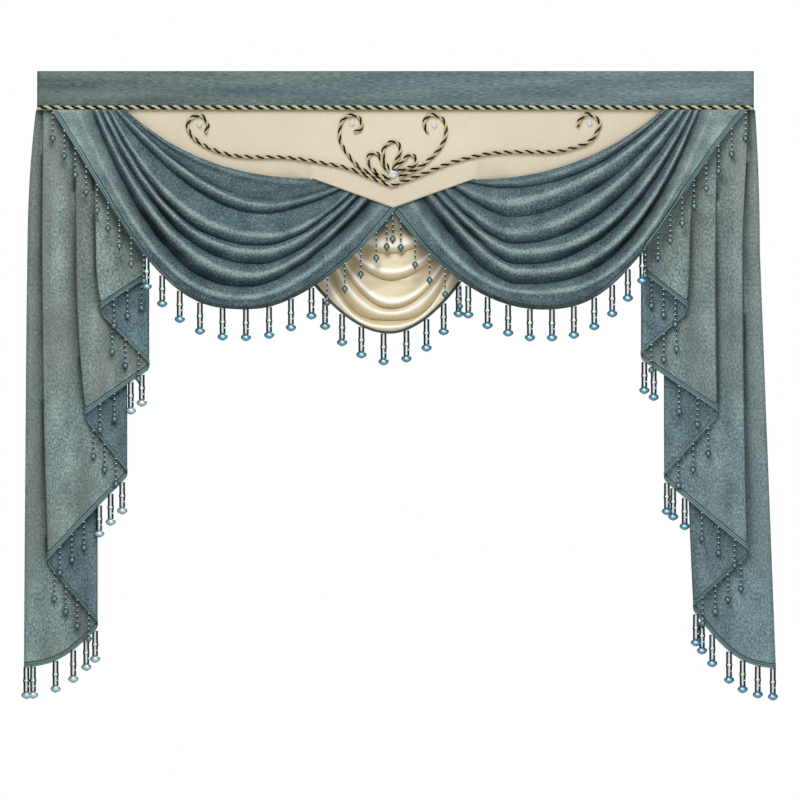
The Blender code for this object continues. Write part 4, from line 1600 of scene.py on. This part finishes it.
RIGHT_TAIL_DROPS = [LayerDrops(*row) for row in (
    ((), (0.14, 0.44, 0.74)),
    ((), (0.2, 0.5, 0.8)),
    ((0.02, 0.15), (0.5, 0.75)),
    ((), (0.15, 0.45, 0.75)),
    ((0.01, 0.09, 0.235), (0.45, 0.66, 0.86)),
    ((), (0.1, 0.35, 0.6, 0.85)),
    ((0.01, 0.107, 0.266, 0.5, 0.66, 0.82, 0.97), ()),
)]


@dataclass
class CascadeTail:
    """A tail of cloth folded to and fro in layers, the short inner edge in front."""

    name: str
    edges: Sequence[TailEdge]
    drops: Sequence[LayerDrops]
    last_bow: float
    seed: int
    face: Finish
    fringe_finishes: Sequence[Finish]
    layer_steps: int = 16
    fold_steps: int = 8
    rows: int = 110
    thickness: float = 0.9
    flare_run: float = 350
    pitch_at_top: float = 2.6
    pitch_below: float = 9.0
    pitch_run: float = 500
    fold_drop: float = 12
    ripple: float = 2.2
    ripple_length: float = 95
    ripple_run: float = 260
    sway: float = 0.22
    sway_wide: float = 26
    sway_long: float = 240
    sway_shift: float = 9
    sway_in_fold: float = 0.4
    turn_shade: float = 0.75
    turn_ease: float = 3
    fold_shade: float = 1.0
    fold_reach: float = 12
    fold_shade_run: float = 45
    fold_shade_past: float = 5
    hem_shade: float = 0.9
    hem_reach: float = 28
    past_hem: float = 0.15
    valley_shade: float = 0.25
    valley_reach: float = 70
    edge_highlight: float = 0.3
    edge_highlight_reach: float = 100
    reverse_tape: float = 0.62

    def stations(self) -> Array:
        """Return the stations along the folded cloth: layer, share, turn through a fold, hem height.

        Returns:
            One row of four values for each station.
        """
        found = []
        last = len(self.edges) - 2
        for layer, (start, end) in enumerate(zip(self.edges, self.edges[1:])):
            z_start = start.hem_z - (0 if layer == 0 else self.fold_drop)
            z_end = end.hem_z + (0 if layer == last else self.fold_drop)
            bow = self.last_bow if layer == last else 0
            for i in range(self.layer_steps + 1):
                share = i / self.layer_steps
                hem_z = mix(z_start, z_end, share) - bow * math.sin(math.pi * share)
                found.append((layer, share, -1.0, hem_z))
            for i in range(1, self.fold_steps if layer < last else 0):
                turn = i / self.fold_steps
                found.append((layer, 1.0, turn, mix(z_end, end.hem_z - self.fold_drop, turn)))
        return np.array(found)

    def edge_x(self, layers: Array, z: Array) -> Array:
        """Return where each station's fold or free edge stands at its height.

        Args:
            layers: The number of each station's edge.
            z: The cloth's heights.

        Returns:
            X for each height and station.
        """
        top, middle, hem, hem_z, flare, early = (
            np.array([getattr(edge, label) for edge in self.edges])[layers][None, :]
            for label in ("top_x", "mid_x", "hem_x", "hem_z", "flare", "early")
        )
        fallen = SEAM_Z - z
        share = np.clip(fallen / self.flare_run, 0.0, 1.0)
        upper = mix(top, middle, mix(smooth(share), 1 - (1 - share) ** 2, early))
        below = np.clip((fallen - self.flare_run) / (SEAM_Z - hem_z - self.flare_run), 0.0, 1.0)
        return np.where(fallen <= self.flare_run, upper, mix(middle, hem, below**flare))

    def cloth(self) -> ClothSheet:
        """Return the folded cloth.

        Returns:
            The cloth with its masks.
        """
        layer, share, turn, hem_z = self.stations().T
        layers = layer.astype(int)
        z = mix(SEAM_Z, hem_z[None, :], np.linspace(0, 1, self.rows + 1)[:, None])
        pitch = mix(self.pitch_at_top, self.pitch_below, smooth((SEAM_Z - z) / self.pitch_run))
        radius = pitch / 2
        start, end = self.edge_x(layers, z), self.edge_x(layers + 1, z)
        across = np.sign(end - start)
        last = len(self.edges) - 2
        start_inset = np.where(layers > 0, radius, 0)
        end_inset = np.where(layers < last, radius, 0)
        x = mix(start + across * start_inset, end - across * end_inset, share)
        y = (layers - last / 2) * pitch
        bend = np.where(turn < 0, 0.0, turn)
        x = x + across * radius * np.sin(math.pi * bend)
        y = y + radius * (1 - np.cos(math.pi * bend))
        grown = smooth((SEAM_Z - z) / self.ripple_run)
        y = y + self.ripple * grown * np.sin(math.tau * x / self.ripple_length)
        sway = SoftNoise(self.seed).at(x / self.sway_wide + self.sway_shift * layers, z / self.sway_long)
        y = y + self.sway * pitch * sway * np.where(turn < 0, 1.0, self.sway_in_fold)
        hollow = self.shade(layers, turn, x, z)
        grid = np.stack([x, y, z], axis=-1)
        # A painted highlight along the outer free edge.
        painted_highlight = self.edge_highlight * (1 - smooth(self.from_outer_edge(x, z) / self.edge_highlight_reach))
        return ClothSheet(grid, self.thickness, self.front(), hollow, painted_highlight, straight_grain=True)

    def from_outer_edge(self, x: Array, z: Array) -> Array:
        """Return how far each point stands from the outer free edge."""
        return np.abs(x - self.edge_x(np.full(x.shape[1], len(self.edges) - 1), z))

    def shade(self, layers: Array, turn: Array, x: Array, z: Array) -> Array:
        """Return the painted shade at each point: at the folds, in the ripples' valleys, and behind the
        layers in front of it.

        Args:
            layers: Each station's layer.
            turn: Its turn through a fold, below 0 on a layer.
            x: The cloth's X, row by row.
            z: Its heights.

        Returns:
            Values from 0 to 1.
        """
        outward = np.sign(self.edges[0].top_x)
        turned_dark = self.turn_shade * smooth(turn * self.turn_ease)
        dark = np.where(turn >= 0, turned_dark, 0.0) * np.ones_like(x)
        valley = smooth(-np.sin(math.tau * x / self.ripple_length)) * smooth((SEAM_Z - z) / self.ripple_run)
        valley = valley * smooth(self.from_outer_edge(x, z) / self.valley_reach)
        dark = np.maximum(dark, self.valley_shade * valley)
        for front in range(len(self.edges) - 2):
            start, end = self.edges[front], self.edges[front + 1]
            behind = layers > front
            if front % 2 == 0:
                past = outward * (x - self.edge_x(np.full(len(layers), front + 1), z))
                above = smooth((z - end.hem_z + self.fold_shade_past) / self.fold_shade_run)
                near = self.fold_shade * above * np.exp(-np.maximum(past, 0) / self.fold_reach)
                dark = np.where(behind & (past > 0), np.maximum(dark, near), dark)
            along_hem = (x - start.hem_x) / (end.hem_x - start.hem_x)
            along_hem = np.clip(along_hem, -self.past_hem, 1 + self.past_hem)
            below = mix(start.hem_z, end.hem_z, along_hem) - z
            inside = smooth(1 - np.abs(along_hem - 0.5) / (0.5 + self.past_hem)) ** 0.5
            near = self.hem_shade * inside * np.exp(-np.maximum(below, 0) / self.hem_reach)
            dark = np.where(behind & (below > 0), np.maximum(dark, near), dark)
        return dark

    def front(self) -> int:
        """Return which way the face looks from the grid."""
        return 1 if self.edges[0].top_x < 0 else -1

    def spans(self) -> list[tuple[int, int, LayerDrops]]:
        """Return each layer's first and last column, with its drops."""
        starts = [layer * (self.layer_steps + self.fold_steps) for layer in range(len(self.drops))]
        return [(first, first + self.layer_steps, drops) for first, drops in zip(starts, self.drops)]

    def build(self) -> list[Piece]:
        """Make the tail and its fringe.

        Returns:
            The tail and its fringe.
        """
        cloth = self.cloth()
        piece = cloth.geometry().build(f"tail_cloth_{self.name}", [self.face, TAIL_BACK])
        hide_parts(f"tail_{self.name}")
        label = f"bead_fringe_tail_{self.name}"
        layer = self.stations()[:, 0]
        narrow = np.where(layer % 2 == 1, self.reverse_tape, 1.0)
        fringe = BeadFringe(
            label, cloth, layer_drops(cloth.grid[-1], self.spans()), self.seed, proud=1.2, narrow=narrow,
            finishes=self.fringe_finishes,
        )
        beads = fringe.build(f"fringe_tail_{self.name}")
        return [piece, beads]


# Bead fringe


class DropStyle(Enum):
    """The two kinds of bead drop."""

    FREE = "free"
    SLIM = "slim"


Drops = list[tuple[float, DropStyle]]


def distance_at(hem: Array, x: float) -> float:
    """Return the distance along a hem at which it first passes X.

    Args:
        hem: The hem's points.
        x: Where to look.

    Returns:
        The distance.
    """
    total = distances(hem)
    side = np.sign(hem[:, 0] - x)
    change = np.nonzero(side[:-1] != side[1:])[0]
    i = int(change[0]) if len(change) else len(hem) - 2
    share = (x - hem[i, 0]) / (hem[i + 1, 0] - hem[i, 0])
    return float(mix(total[i], total[i + 1], np.clip(share, 0, 1)))


def even_drops(hem: Array, first_x: float, last_x: float, count: int) -> Drops:
    """Return free drops at even distances between two X values."""
    start, end = distance_at(hem, first_x), distance_at(hem, last_x)
    return [(float(d), DropStyle.FREE) for d in np.linspace(start, end, count)]


def swag_drops(hem: Array, counts: HemDrops) -> Drops:
    """Return slim drops on a swag's slanting stretches and free ones along its bottom.

    Args:
        hem: The hem's points.
        counts: How many drops there are and where.

    Returns:
        Each drop's distance along the hem and its style.
    """
    outer = distance_at(hem, counts.bottom_from) * np.linspace(*counts.outer_span, counts.outer)
    found = [(float(d), DropStyle.SLIM) for d in outer]
    found += even_drops(hem, counts.bottom_from, counts.bottom_to, counts.bottom)
    return found + [(distance_at(hem, x), DropStyle.SLIM) for x in counts.inner]


def layer_drops(hem: Array, spans: Sequence[tuple[int, int, LayerDrops]]) -> Drops:
    """Return drops at shares of each layer's stretch of a tail's hem.

    Args:
        hem: The hem's points.
        spans: Each layer's first and last column, with its drops.

    Returns:
        Each drop's distance along the hem and its style.
    """
    total = distances(hem)
    found = []
    for first, last, drops in spans:
        for style, shares in ((DropStyle.FREE, drops.free), (DropStyle.SLIM, drops.over_cloth)):
            found += [(float(mix(total[first], total[last], share)), style) for share in shares]
    return found


@dataclass(frozen=True)
class DropMaker:
    """Makes one bead drop of each style, hanging down from the origin."""

    rod_apart: float = 5.0
    rod_radius: float = 2.5
    rod_swell: float = 1.1
    core_radius: float = 2.2
    core_swell: float = 3.9
    bulge: float = 36.0
    bulge_run: float = 3.6
    glint_at: float = 49.0
    end_at: float = 73.0
    end_half: float = 10.0
    end_neck: float = 1.6
    end_swell: float = 11.5
    end_fullness: float = 0.85
    slim_run: float = 60
    sides: int = 10
    small_sides: int = 7
    end_sides: int = 18

    def free(self) -> Geometry:
        """Return a drop of two dark rods on a pale core, with a bulge and a large end bead.

        The dark rods stand in for the dark refracted edges of one clear glass tube, and the pale core
        for the light through its middle: painted shade and painted highlight.

        Returns:
            The drop.
        """
        heights = np.concatenate([np.linspace(1, 27, 9), np.linspace(29, 43, 9), np.linspace(45, 65, 7)])
        swell = np.exp(-(((heights - self.bulge) / self.bulge_run) ** 2))
        parts = []
        for side in (-1, 1):
            aside = side * (self.rod_apart + self.rod_swell * swell)
            path = np.stack([aside, 0 * heights, -heights], axis=1)
            parts.append(tube(path, self.rod_radius, self.small_sides, 1))
        core = [(-float(h), float(self.core_radius + self.core_swell * w)) for h, w in zip(heights, swell)]
        parts.append(turned([(-0.2, 0.5), *core, (-66, 0.8)], self.sides, 2))
        # A clear seed bead at the top, and a pale bead on one rod that stands in for a glint: painted
        # highlight.
        for height, aside, slot in ((0.5, 0.0, 4), (self.glint_at, self.rod_apart, 2)):
            rings = [(-height, 1.0), (-height - 1.4, 3.0), (-height - 3.8, 1.0)]
            parts.append(turned(rings, self.small_sides, slot).moved(np.array([aside, -1.2, 0.0])))
        end = []
        for lift in np.linspace(-1, 1, 13).tolist():
            radius = self.end_neck + self.end_swell * (1 - lift**2) ** self.end_fullness
            end.append((-self.end_at - self.end_half * lift, radius))
        parts.append(turned(end, self.end_sides, 3))
        return Geometry.join(parts)

    def slim(self) -> Geometry:
        """Return a string of tiny beads with a small end bead. Its pale seed beads stand in for glints
        on clear glass: painted highlight.

        Returns:
            The string.
        """
        parts = []
        height, k = 1.0, 0
        while height < self.slim_run:
            bugle = k % 3 != 0
            size, radius = (5.0, 2.1) if bugle else (3.4, 2.6)
            # Slot 4 holds the pale seed beads that stand in for glints: painted highlight.
            slot = (1 if k % 3 == 1 else 5) if bugle else 4
            profile = [(-height, 0.7), (-height - 0.25 * size, radius), (-height - 0.7 * size, radius)]
            parts.append(turned([*profile, (-height - size, 0.7)], self.small_sides, slot))
            height, k = height + size, k + 1
        end = [(-59, 1.2), (-60.5, 3.8), (-65, 7.6), (-69, 8.1), (-73.5, 5.0), (-76, 1.6)]
        parts.append(turned(end, self.sides, 5))
        parts.append(turned([(-75, 1.0), (-77, 2.3), (-79.5, 1.0)], self.small_sides, 1))
        return Geometry.join(parts)


@dataclass
class BeadFringe:
    """The braid along a hem with its bead drops, as one piece."""

    name: str
    cloth: ClothSheet
    drops: Drops
    seed: int
    width: float = 12
    proud: float = 1.8
    rows: int = 8
    least_slant: float = 0.45
    below_hem: float = 0.8
    edge_turn: float = 0.12
    flat_from: float = 0.7
    flat_run: float = 0.2
    rolled_shade: float = 0.95
    twist: float = 0.12
    shortest: float = 0.97
    shade_all: float = 0.0
    roll_at_bottom: bool = False
    narrow: Array | float = 1.0
    finishes: Sequence[Finish] = field(default_factory=lambda: FRINGE_FINISHES)

    def tape(self) -> ClothSheet:
        """Return the braid: the cloth's last stretch, a little thicker and round across.

        Returns:
            The braid. It climbs further up the cloth where the hem is steep, so its width stays the same.
        """
        hem = self.cloth.grid[-1]
        run = unit(np.gradient(hem, axis=0))
        up = unit(self.cloth.grid[-4] - hem)
        slant = np.maximum(np.linalg.norm(np.cross(up, run), axis=1), self.least_slant)
        reach = self.width * np.broadcast_to(self.narrow, len(hem)) / slant
        columns = []
        for i in range(len(hem)):
            climb = self.cloth.grid[::-1, i]
            wanted = np.linspace(reach[i], -self.below_hem, self.rows)
            stretch = along(climb, np.maximum(wanted, 0))
            stretch[-1] = hem[i] - up[i] * self.below_hem
            columns.append(stretch)
        grid = np.stack(columns, axis=1)
        bulge = np.sin(np.linspace(self.edge_turn, math.pi - self.edge_turn, self.rows))[:, None]
        thickness = self.cloth.thickness + 2 * self.proud * bulge * np.ones((1, len(hem)))
        share = np.linspace(0, 1, self.rows)[:, None] * np.ones((1, len(hem)))
        flatness = np.zeros(len(hem))
        if self.roll_at_bottom:
            flatness = smooth((np.abs(run[:, 0]) - self.flat_from) / self.flat_run)
        shade = np.maximum(self.shade_all, self.rolled_shade * flatness)[None, :] * np.ones((self.rows, 1))
        return ClothSheet(grid, thickness, self.cloth.front, shade, share, slots=(0, 0))

    def build(self, node: str) -> Piece:
        """Make the fringe.

        Args:
            node: The frame's node that it stands for.

        Returns:
            The fringe as one object.
        """
        hem = self.cloth.grid[-1]
        maker = DropMaker()
        styles = {DropStyle.FREE: maker.free(), DropStyle.SLIM: maker.slim()}
        random = np.random.default_rng(self.seed)
        parts = [self.tape().geometry()]
        for distance, style in self.drops:
            point = along(hem, np.array([distance]))[0]
            turn = float(random.normal(0, self.twist))
            parts.append(styles[style].moved(point, turn, float(random.uniform(self.shortest, 1.0))))
        piece = Geometry.join(parts).build(self.name, self.finishes)
        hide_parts(node)
        return piece


# Heading band, panel, cords and buttons


@dataclass
class Heading:
    """The band along the top."""

    width: float = 1792
    height: float = 97
    thickness: float = 4
    edge_share: float = 0.45
    edge_run: float = 4
    cloth_share: float = 0.95
    sway: float = 0.6
    columns: int = 260
    rows: int = 24

    def build(self) -> list[Piece]:
        """Make the band.

        Returns:
            The band.
        """
        x = np.linspace(-self.width / 2, self.width / 2, self.columns)[None, :]
        z = np.linspace(0, -self.height, self.rows)[:, None]
        noise = SoftNoise(5)
        sway = 0.9 * noise.at(x / 120, z / 60) + 0.35 * noise.at(x / 34 + 11, z / 18 + 5)
        y = -self.thickness / 2 + sway * self.sway
        grid = np.stack(np.broadcast_arrays(x, y, z), axis=-1).astype(float)
        from_end = np.minimum(x + self.width / 2, self.width / 2 - x)
        edge = np.minimum(np.minimum(-z, z + self.height), from_end)
        rounded = np.sqrt(np.clip(edge / self.edge_run, 0, 1))
        thickness = self.thickness * mix(self.edge_share, 1.0, rounded)
        cloth = ClothSheet(grid, thickness * self.cloth_share, -1, slots=(0, 0))
        piece = cloth.geometry().build("heading_band_cloth", [BAND_FACE])
        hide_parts("header_band")
        return [piece]


@dataclass
class CreamPanel:
    """The flat cream cloth behind and between the swags."""

    columns: int = 200
    rows: int = 44
    lap: float = 22
    lap_start: float = 2
    lap_run: float = 48
    deep_lap: float = 16
    deep_lap_run: float = 30
    deep_lap_to: float = 110
    deep_lap_fade: float = 70
    shoulder_run: float = 10
    clear: float = 1.5
    lap_back: float = 7
    back_run: float = 20
    back_to: float = 60
    back_fade: float = 60
    back_from_share: float = 0.6
    back_share_run: float = 0.35
    rumples: tuple = ((0.5, 160, 60), (0.15, 30, 26))

    def lower_edge(self, x: Array) -> Array:
        """Return the panel's lower edge: the slants, then lapped behind the swags.

        Args:
            x: X along the panel.

        Returns:
            The edge's height at each X.
        """
        past = PANEL.past_shoulder(x)
        fold = np.where(x < PANEL.point_x, LEFT_LINES[0].height(x), RIGHT_LINES[0].height(x))
        lapped = mix(PANEL.shoulder_z, fold + self.clear, smooth(past / self.shoulder_run))
        lapped = lapped - self.lap * smooth((past - self.lap_start) / self.lap_run)
        faded = 1 - smooth((past - self.deep_lap_to) / self.deep_lap_fade)
        lapped = lapped - self.deep_lap * smooth(past / self.deep_lap_run) * faded
        return np.where(past <= 0, PANEL.edge_z(x), lapped)

    def build(self) -> list[Piece]:
        """Make the panel.

        Returns:
            The panel.
        """
        stations = np.array([PANEL.left_shoulder_x, PANEL.point_x, PANEL.right_shoulder_x])
        even = np.linspace(PANEL.left_end_x, PANEL.right_end_x, self.columns)
        x = np.unique(np.concatenate([even, stations]))
        share = np.linspace(0, 1, self.rows)[:, None]
        z = mix(SEAM_Z, self.lower_edge(x)[None, :], share)
        wide = np.broadcast_to(x, z.shape)
        past = PANEL.past_shoulder(x)
        pushed = self.lap_back * smooth((past - 1) / self.back_run)
        pushed = pushed * (1 - smooth((past - self.back_to) / self.back_fade))
        pushed = pushed * smooth((share - self.back_from_share) / self.back_share_run)
        grid = np.stack([wide, pushed - PANEL.stand(wide, z), z], axis=-1)
        fade = np.sin(math.pi * np.clip(share, 0, 1)) * np.ones_like(z)
        grid = rumpled(grid, SoftNoise(17), self.rumples, fade)
        cloth = ClothSheet(grid, PANEL.thickness, -1, slots=(0, 0))
        piece = cloth.geometry().build("panel_cloth", [CREAM_LINEN])
        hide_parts("cream_panel")
        return [piece]


@dataclass
class TwistedCord:
    """Cord of a gold strand and a black one, twisted together."""

    radii: tuple[float, float] = (2.8, 2.3)
    offset: float = 2.3
    lay: float = 27
    step: float = 1.6
    taper_run: float = 3
    end_share: float = 0.35
    sides: int = 8

    def along_path(self, path: Array) -> Geometry:
        """Return the cord laid along a path.

        Args:
            path: Points along the cord's middle.

        Returns:
            Both strands.
        """
        total = float(distances(path)[-1])
        at = np.linspace(0, total, max(8, round(total / self.step)))
        line = along(path, at)
        ahead = unit(np.gradient(line, axis=0))
        front = unit(np.array([0.0, -1.0, 0.0]) + ahead * ahead[:, 1:2])
        across = np.cross(ahead, front)
        parts = []
        for slot, radius in enumerate(self.radii):
            turn = (math.tau * (at / self.lay + slot / len(self.radii)))[:, None]
            strand = line + self.offset * (np.cos(turn) * front + np.sin(turn) * across)
            taper = np.clip(np.minimum(at, total - at) / self.taper_run + self.end_share, 0, 1)
            parts.append(tube(strand, radius * taper, self.sides, slot))
        return Geometry.join(parts)


@dataclass
class HeadingCord:
    """The cord along the band's lower edge."""

    width: float = 1790
    stand: float = 9.8
    z: float = -91.5

    def build(self) -> list[Piece]:
        """Make the cord.

        Returns:
            The cord.
        """
        x = np.linspace(-self.width / 2, self.width / 2, 400)
        noise = SoftNoise(8)
        z = self.z + 0.5 * noise.at(x / 150, x * 0)
        path = np.stack([x, np.full_like(x, -self.stand), z], axis=1)
        cord = TwistedCord(radii=(3.3, 2.7), offset=2.7)
        piece = cord.along_path(path).build("heading_cord", [GOLD_YARN, BLACK_YARN])
        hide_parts("header_rope")
        return [piece]


OUTER_SCROLL = [
    (-476, -155), (-469, -133), (-484, -112), (-507, -115), (-520, -135), (-506, -165), (-466, -192),
    (-409, -210), (-351, -215), (-294, -215), (-236, -220), (-180, -230), (-122, -242), (-64, -265),
    (-14, -285), (9, -280), (61, -260), (109, -240), (151, -225), (229, -207), (309, -202), (394, -202),
    (444, -192), (486, -175), (506, -147), (509, -125), (481, -107), (461, -122), (454, -140),
]
LEFT_SCROLL = [
    (-104, -152), (-89, -147), (-84, -132), (-96, -112), (-119, -112), (-134, -125), (-139, -145),
    (-139, -172), (-128, -195), (-114, -215), (-99, -232), (-82, -246), (-62, -256), (-42, -264), (-24, -270),
]
RIGHT_SCROLL = [
    (81, -155), (73, -139), (74, -120), (92, -109), (118, -120), (126, -141), (124, -166), (114, -188),
    (101, -205), (84, -222), (62, -239), (42, -250), (24, -258), (8, -266),
]
CLOVER = [
    (-12, -268), (-36, -261), (-58, -244), (-69, -224), (-64, -208), (-46, -206), (-36, -222), (-27, -240),
    (-15, -250), (-22, -234), (-30, -214), (-30, -194), (-20, -182), (-4, -175), (9, -184), (12, -200),
    (5, -218), (-3, -236), (-4, -246), (6, -234), (22, -220), (33, -209), (46, -212), (52, -224),
    (44, -238), (22, -244), (4, -252),
]


@dataclass
class ScrollWork:
    """The cords laid in scrolls on the panel."""

    cord_radius: float = 4.3
    panel_half: float = 1
    lift: float = 0.3
    steps: int = 12

    def route(self, points: Sequence[tuple[float, float]]) -> Array:
        """Return a smooth curve through the points, lying on the panel.

        Args:
            points: Pairs of X and Z.

        Returns:
            Points along the cord's middle.
        """
        known = np.array([points[0], *points, points[-1]], dtype=float)
        t = np.linspace(0, 1, self.steps, endpoint=False)[:, None]
        pieces = []
        for a, b, c, d in zip(known, known[1:], known[2:], known[3:]):
            square, cube = 2 * a - 5 * b + 4 * c - d, 3 * b - a - 3 * c + d
            pieces.append(0.5 * (2 * b + (c - a) * t + square * t**2 + cube * t**3))
        x, z = np.concatenate([*pieces, known[-1:]]).T
        stand = PANEL.stand(x, z) + self.panel_half + self.lift + self.cord_radius
        return np.stack([x, -stand, z], axis=1)

    def build(self) -> list[Piece]:
        """Make the cords.

        Returns:
            The cords.
        """
        cord = TwistedCord()
        made = []
        named = {"outer": OUTER_SCROLL, "left": LEFT_SCROLL, "right": RIGHT_SCROLL, "clover": CLOVER}
        for label, points in named.items():
            laid = cord.along_path(self.route(points))
            piece = laid.build(f"scroll_cord_{label}", [GOLD_YARN, BLACK_YARN])
            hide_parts(f"scroll_rope_{label}")
            made.append(piece)
        return made


@dataclass
class CrystalButtons:
    """The cut-glass buttons in the scrolls."""

    places: dict[str, tuple[float, float, float]] = field(default_factory=lambda: {
        "outer_left": (-490, -134, 8), "inner_left": (-109, -130, 8), "inner_right": (97, -135, 8),
        "outer_right": (485, -130, 8), "centre": (-7, -257, 12.5),
    })
    height: float = 7
    sides: int = 12
    seat: float = 1.3

    def stone(self, radius: float) -> Geometry:
        """Return a faceted stone, its table towards +Z.

        Args:
            radius: The stone's radius.

        Returns:
            The stone, its back at Z 0.
        """
        sides = self.sides
        rings = [(0.0, 1.0, 0.0), (0.18, 1.0, 0.5), (0.45, 0.86, 0.0), (0.75, 0.68, 0.5), (1.0, 0.42, 0.0)]
        points, faces = [], []
        for height, share, half in rings:
            for i in range(sides):
                angle = math.tau * (i + half) / sides
                reach = radius * share
                points.append((reach * math.cos(angle), reach * math.sin(angle), height * self.height))
        for k in range(len(rings) - 1):
            for i in range(sides):
                j = (i + 1) % sides
                a, b, c, d = k * sides + i, k * sides + j, (k + 1) * sides + j, (k + 1) * sides + i
                if k % 2 == 0:
                    faces += [(a, b, d), (b, c, d)]
                else:
                    faces += [(a, b, c), (a, c, d)]
        top = (len(rings) - 1) * sides
        faces += [tuple(reversed(range(sides))), tuple(top + i for i in range(sides))]
        return Geometry.of(np.array(points), faces, 0, False)

    def build(self) -> list[Piece]:
        """Make the buttons.

        Returns:
            The buttons.
        """
        made = []
        for label, (x, z, radius) in self.places.items():
            stone = self.stone(radius)
            px, py, pz = stone.points.T
            lower, upper = PANEL.stand(x, z - 1), PANEL.stand(x, z + 1)
            lean = math.atan(float(lower - upper) / 2)
            forward = pz * math.cos(lean) - py * math.sin(lean)
            upward = pz * math.sin(lean) + py * math.cos(lean)
            base = float(PANEL.stand(x, z)) + self.seat
            stone.points = np.stack([x + px, -(base + forward), z + upward], axis=1)
            piece = stone.build(f"crystal_button_{label}", [CRYSTAL])
            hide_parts(f"button_{label}")
            made.append(piece)
        return made


# Studio


@dataclass
class Studio:
    """Floor, lights, surroundings and camera."""

    floor_z: float = -1.9
    floor_radius: float = 6000
    floor_depth: float = 10
    lit_point: tuple[float, float, float] = (0.0, 0.0, -0.5)
    camera_y: float = -5.0
    view_width: float = 2.0
    view_x: float = 0.01125
    view_z: float = -0.8225
    lights: dict[str, tuple] = field(default_factory=lambda: {
        "key light": ((-0.4, -2.75, 2.5), 2.0, 142.0),
        "fill light": ((1.4, -3.4, -0.8), 1.8, 30.0),
        "back light": ((0.6, 3.0, 1.6), 2.0, 45.0),
    })

    def aim(self, thing: Piece, target: tuple[float, float, float]) -> None:
        """Turn a light or the camera to look at a point.

        Args:
            thing: The light or the camera.
            target: The point.
        """
        way = np.array(target) - np.array(thing.location)
        flat = math.hypot(way[0], way[1])
        thing.rotation_euler = (math.atan2(flat, -way[2]), 0.0, math.atan2(-way[0], way[1]))

    def build(self) -> None:
        """Make everything around the valance."""
        scene = bpy.context.scene
        floor = turned([(0.0, self.floor_radius), (-self.floor_depth, self.floor_radius)], 48)
        mesh_piece = bpy.data.objects.new("studio_floor", bpy.data.meshes.new("studio_floor"))
        mesh_piece.data.from_pydata((floor.points * MM).tolist(), [], self.faces_of(floor))
        mesh_piece.data.materials.append(FLOOR.material())
        mesh_piece.location = (0, 0, self.floor_z)
        scene.collection.objects.link(mesh_piece)
        for label, (place, size, power) in self.lights.items():
            lamp = bpy.data.lights.new(label, "AREA")
            lamp.size = size
            lamp.energy = power
            holder = bpy.data.objects.new(label, lamp)
            holder.location = place
            scene.collection.objects.link(holder)
            self.aim(holder, self.lit_point)
        self.surroundings(scene)
        camera = bpy.data.cameras.new("camera")
        camera.type = "ORTHO"
        camera.ortho_scale = self.view_width
        holder = bpy.data.objects.new("camera", camera)
        holder.location = (self.view_x, self.camera_y, self.view_z)
        scene.collection.objects.link(holder)
        self.aim(holder, (self.view_x, 0.0, self.view_z))
        scene.camera = holder
        scene.view_settings.view_transform = "Standard"

    def faces_of(self, part: Geometry) -> list[list[int]]:
        """Return a geometry's faces as lists of corners."""
        ends = np.cumsum(part.counts)
        return [part.corners[end - count:end].tolist() for end, count in zip(ends, part.counts)]

    def surroundings(self, scene: bpy.types.Scene) -> None:
        """Make the world: plain white behind the part, and a softer light on it.

        Args:
            scene: The scene that gets the world.
        """
        world = bpy.data.worlds.new("studio")
        scene.world = world
        world.use_nodes = True
        shader = Shader(world.node_tree)
        out = world.node_tree.nodes["World Output"]
        seen = world.node_tree.nodes["Background"]
        seen.inputs[0].default_value = (1.0, 1.0, 1.0, 1.0)
        seen.inputs[1].default_value = 1.0
        soft = shader.node("ShaderNodeBackground", {0: (0.92, 0.96, 1.0, 1.0), 1: 0.2})
        path = shader.node("ShaderNodeLightPath")
        both = shader.node("ShaderNodeMixShader", {0: path.outputs["Is Camera Ray"]})
        world.node_tree.links.new(soft.outputs[0], both.inputs[1])
        world.node_tree.links.new(seen.outputs[0], both.inputs[2])
        world.node_tree.links.new(both.outputs[0], out.inputs[0])


def main() -> None:
    """Build the valance and the studio, and report each piece."""
    logging.basicConfig(level=logging.INFO, format="%(message)s")
    assemblies = [
        Heading(),
        HeadingCord(),
        CreamPanel(),
        SideSwag("left", LEFT_LINES, HemDrops(9, -622, 9, -210, (-171, -127, -87, -48, -22, -7)), seed=11),
        SideSwag("right", RIGHT_LINES, HemDrops(9, 617, 10, 182, (161, 124, 85, 49, 13)), seed=12),
        CentreSwag(),
        CascadeTail("left", LEFT_TAIL, LEFT_TAIL_DROPS, 25, 21, LEFT_TAIL_FACE, SILVER_FRINGE_FINISHES),
        CascadeTail("right", RIGHT_TAIL, RIGHT_TAIL_DROPS, 38, 22, RIGHT_TAIL_FACE, FRINGE_FINISHES),
        ScrollWork(),
        CrystalButtons(),
    ]
    for assembly in assemblies:
        for piece in assembly.build():
            LOG.info("%s: %d faces", piece.name, len(piece.data.polygons))
    Studio().build()


if __name__ == "__main__":
    main()
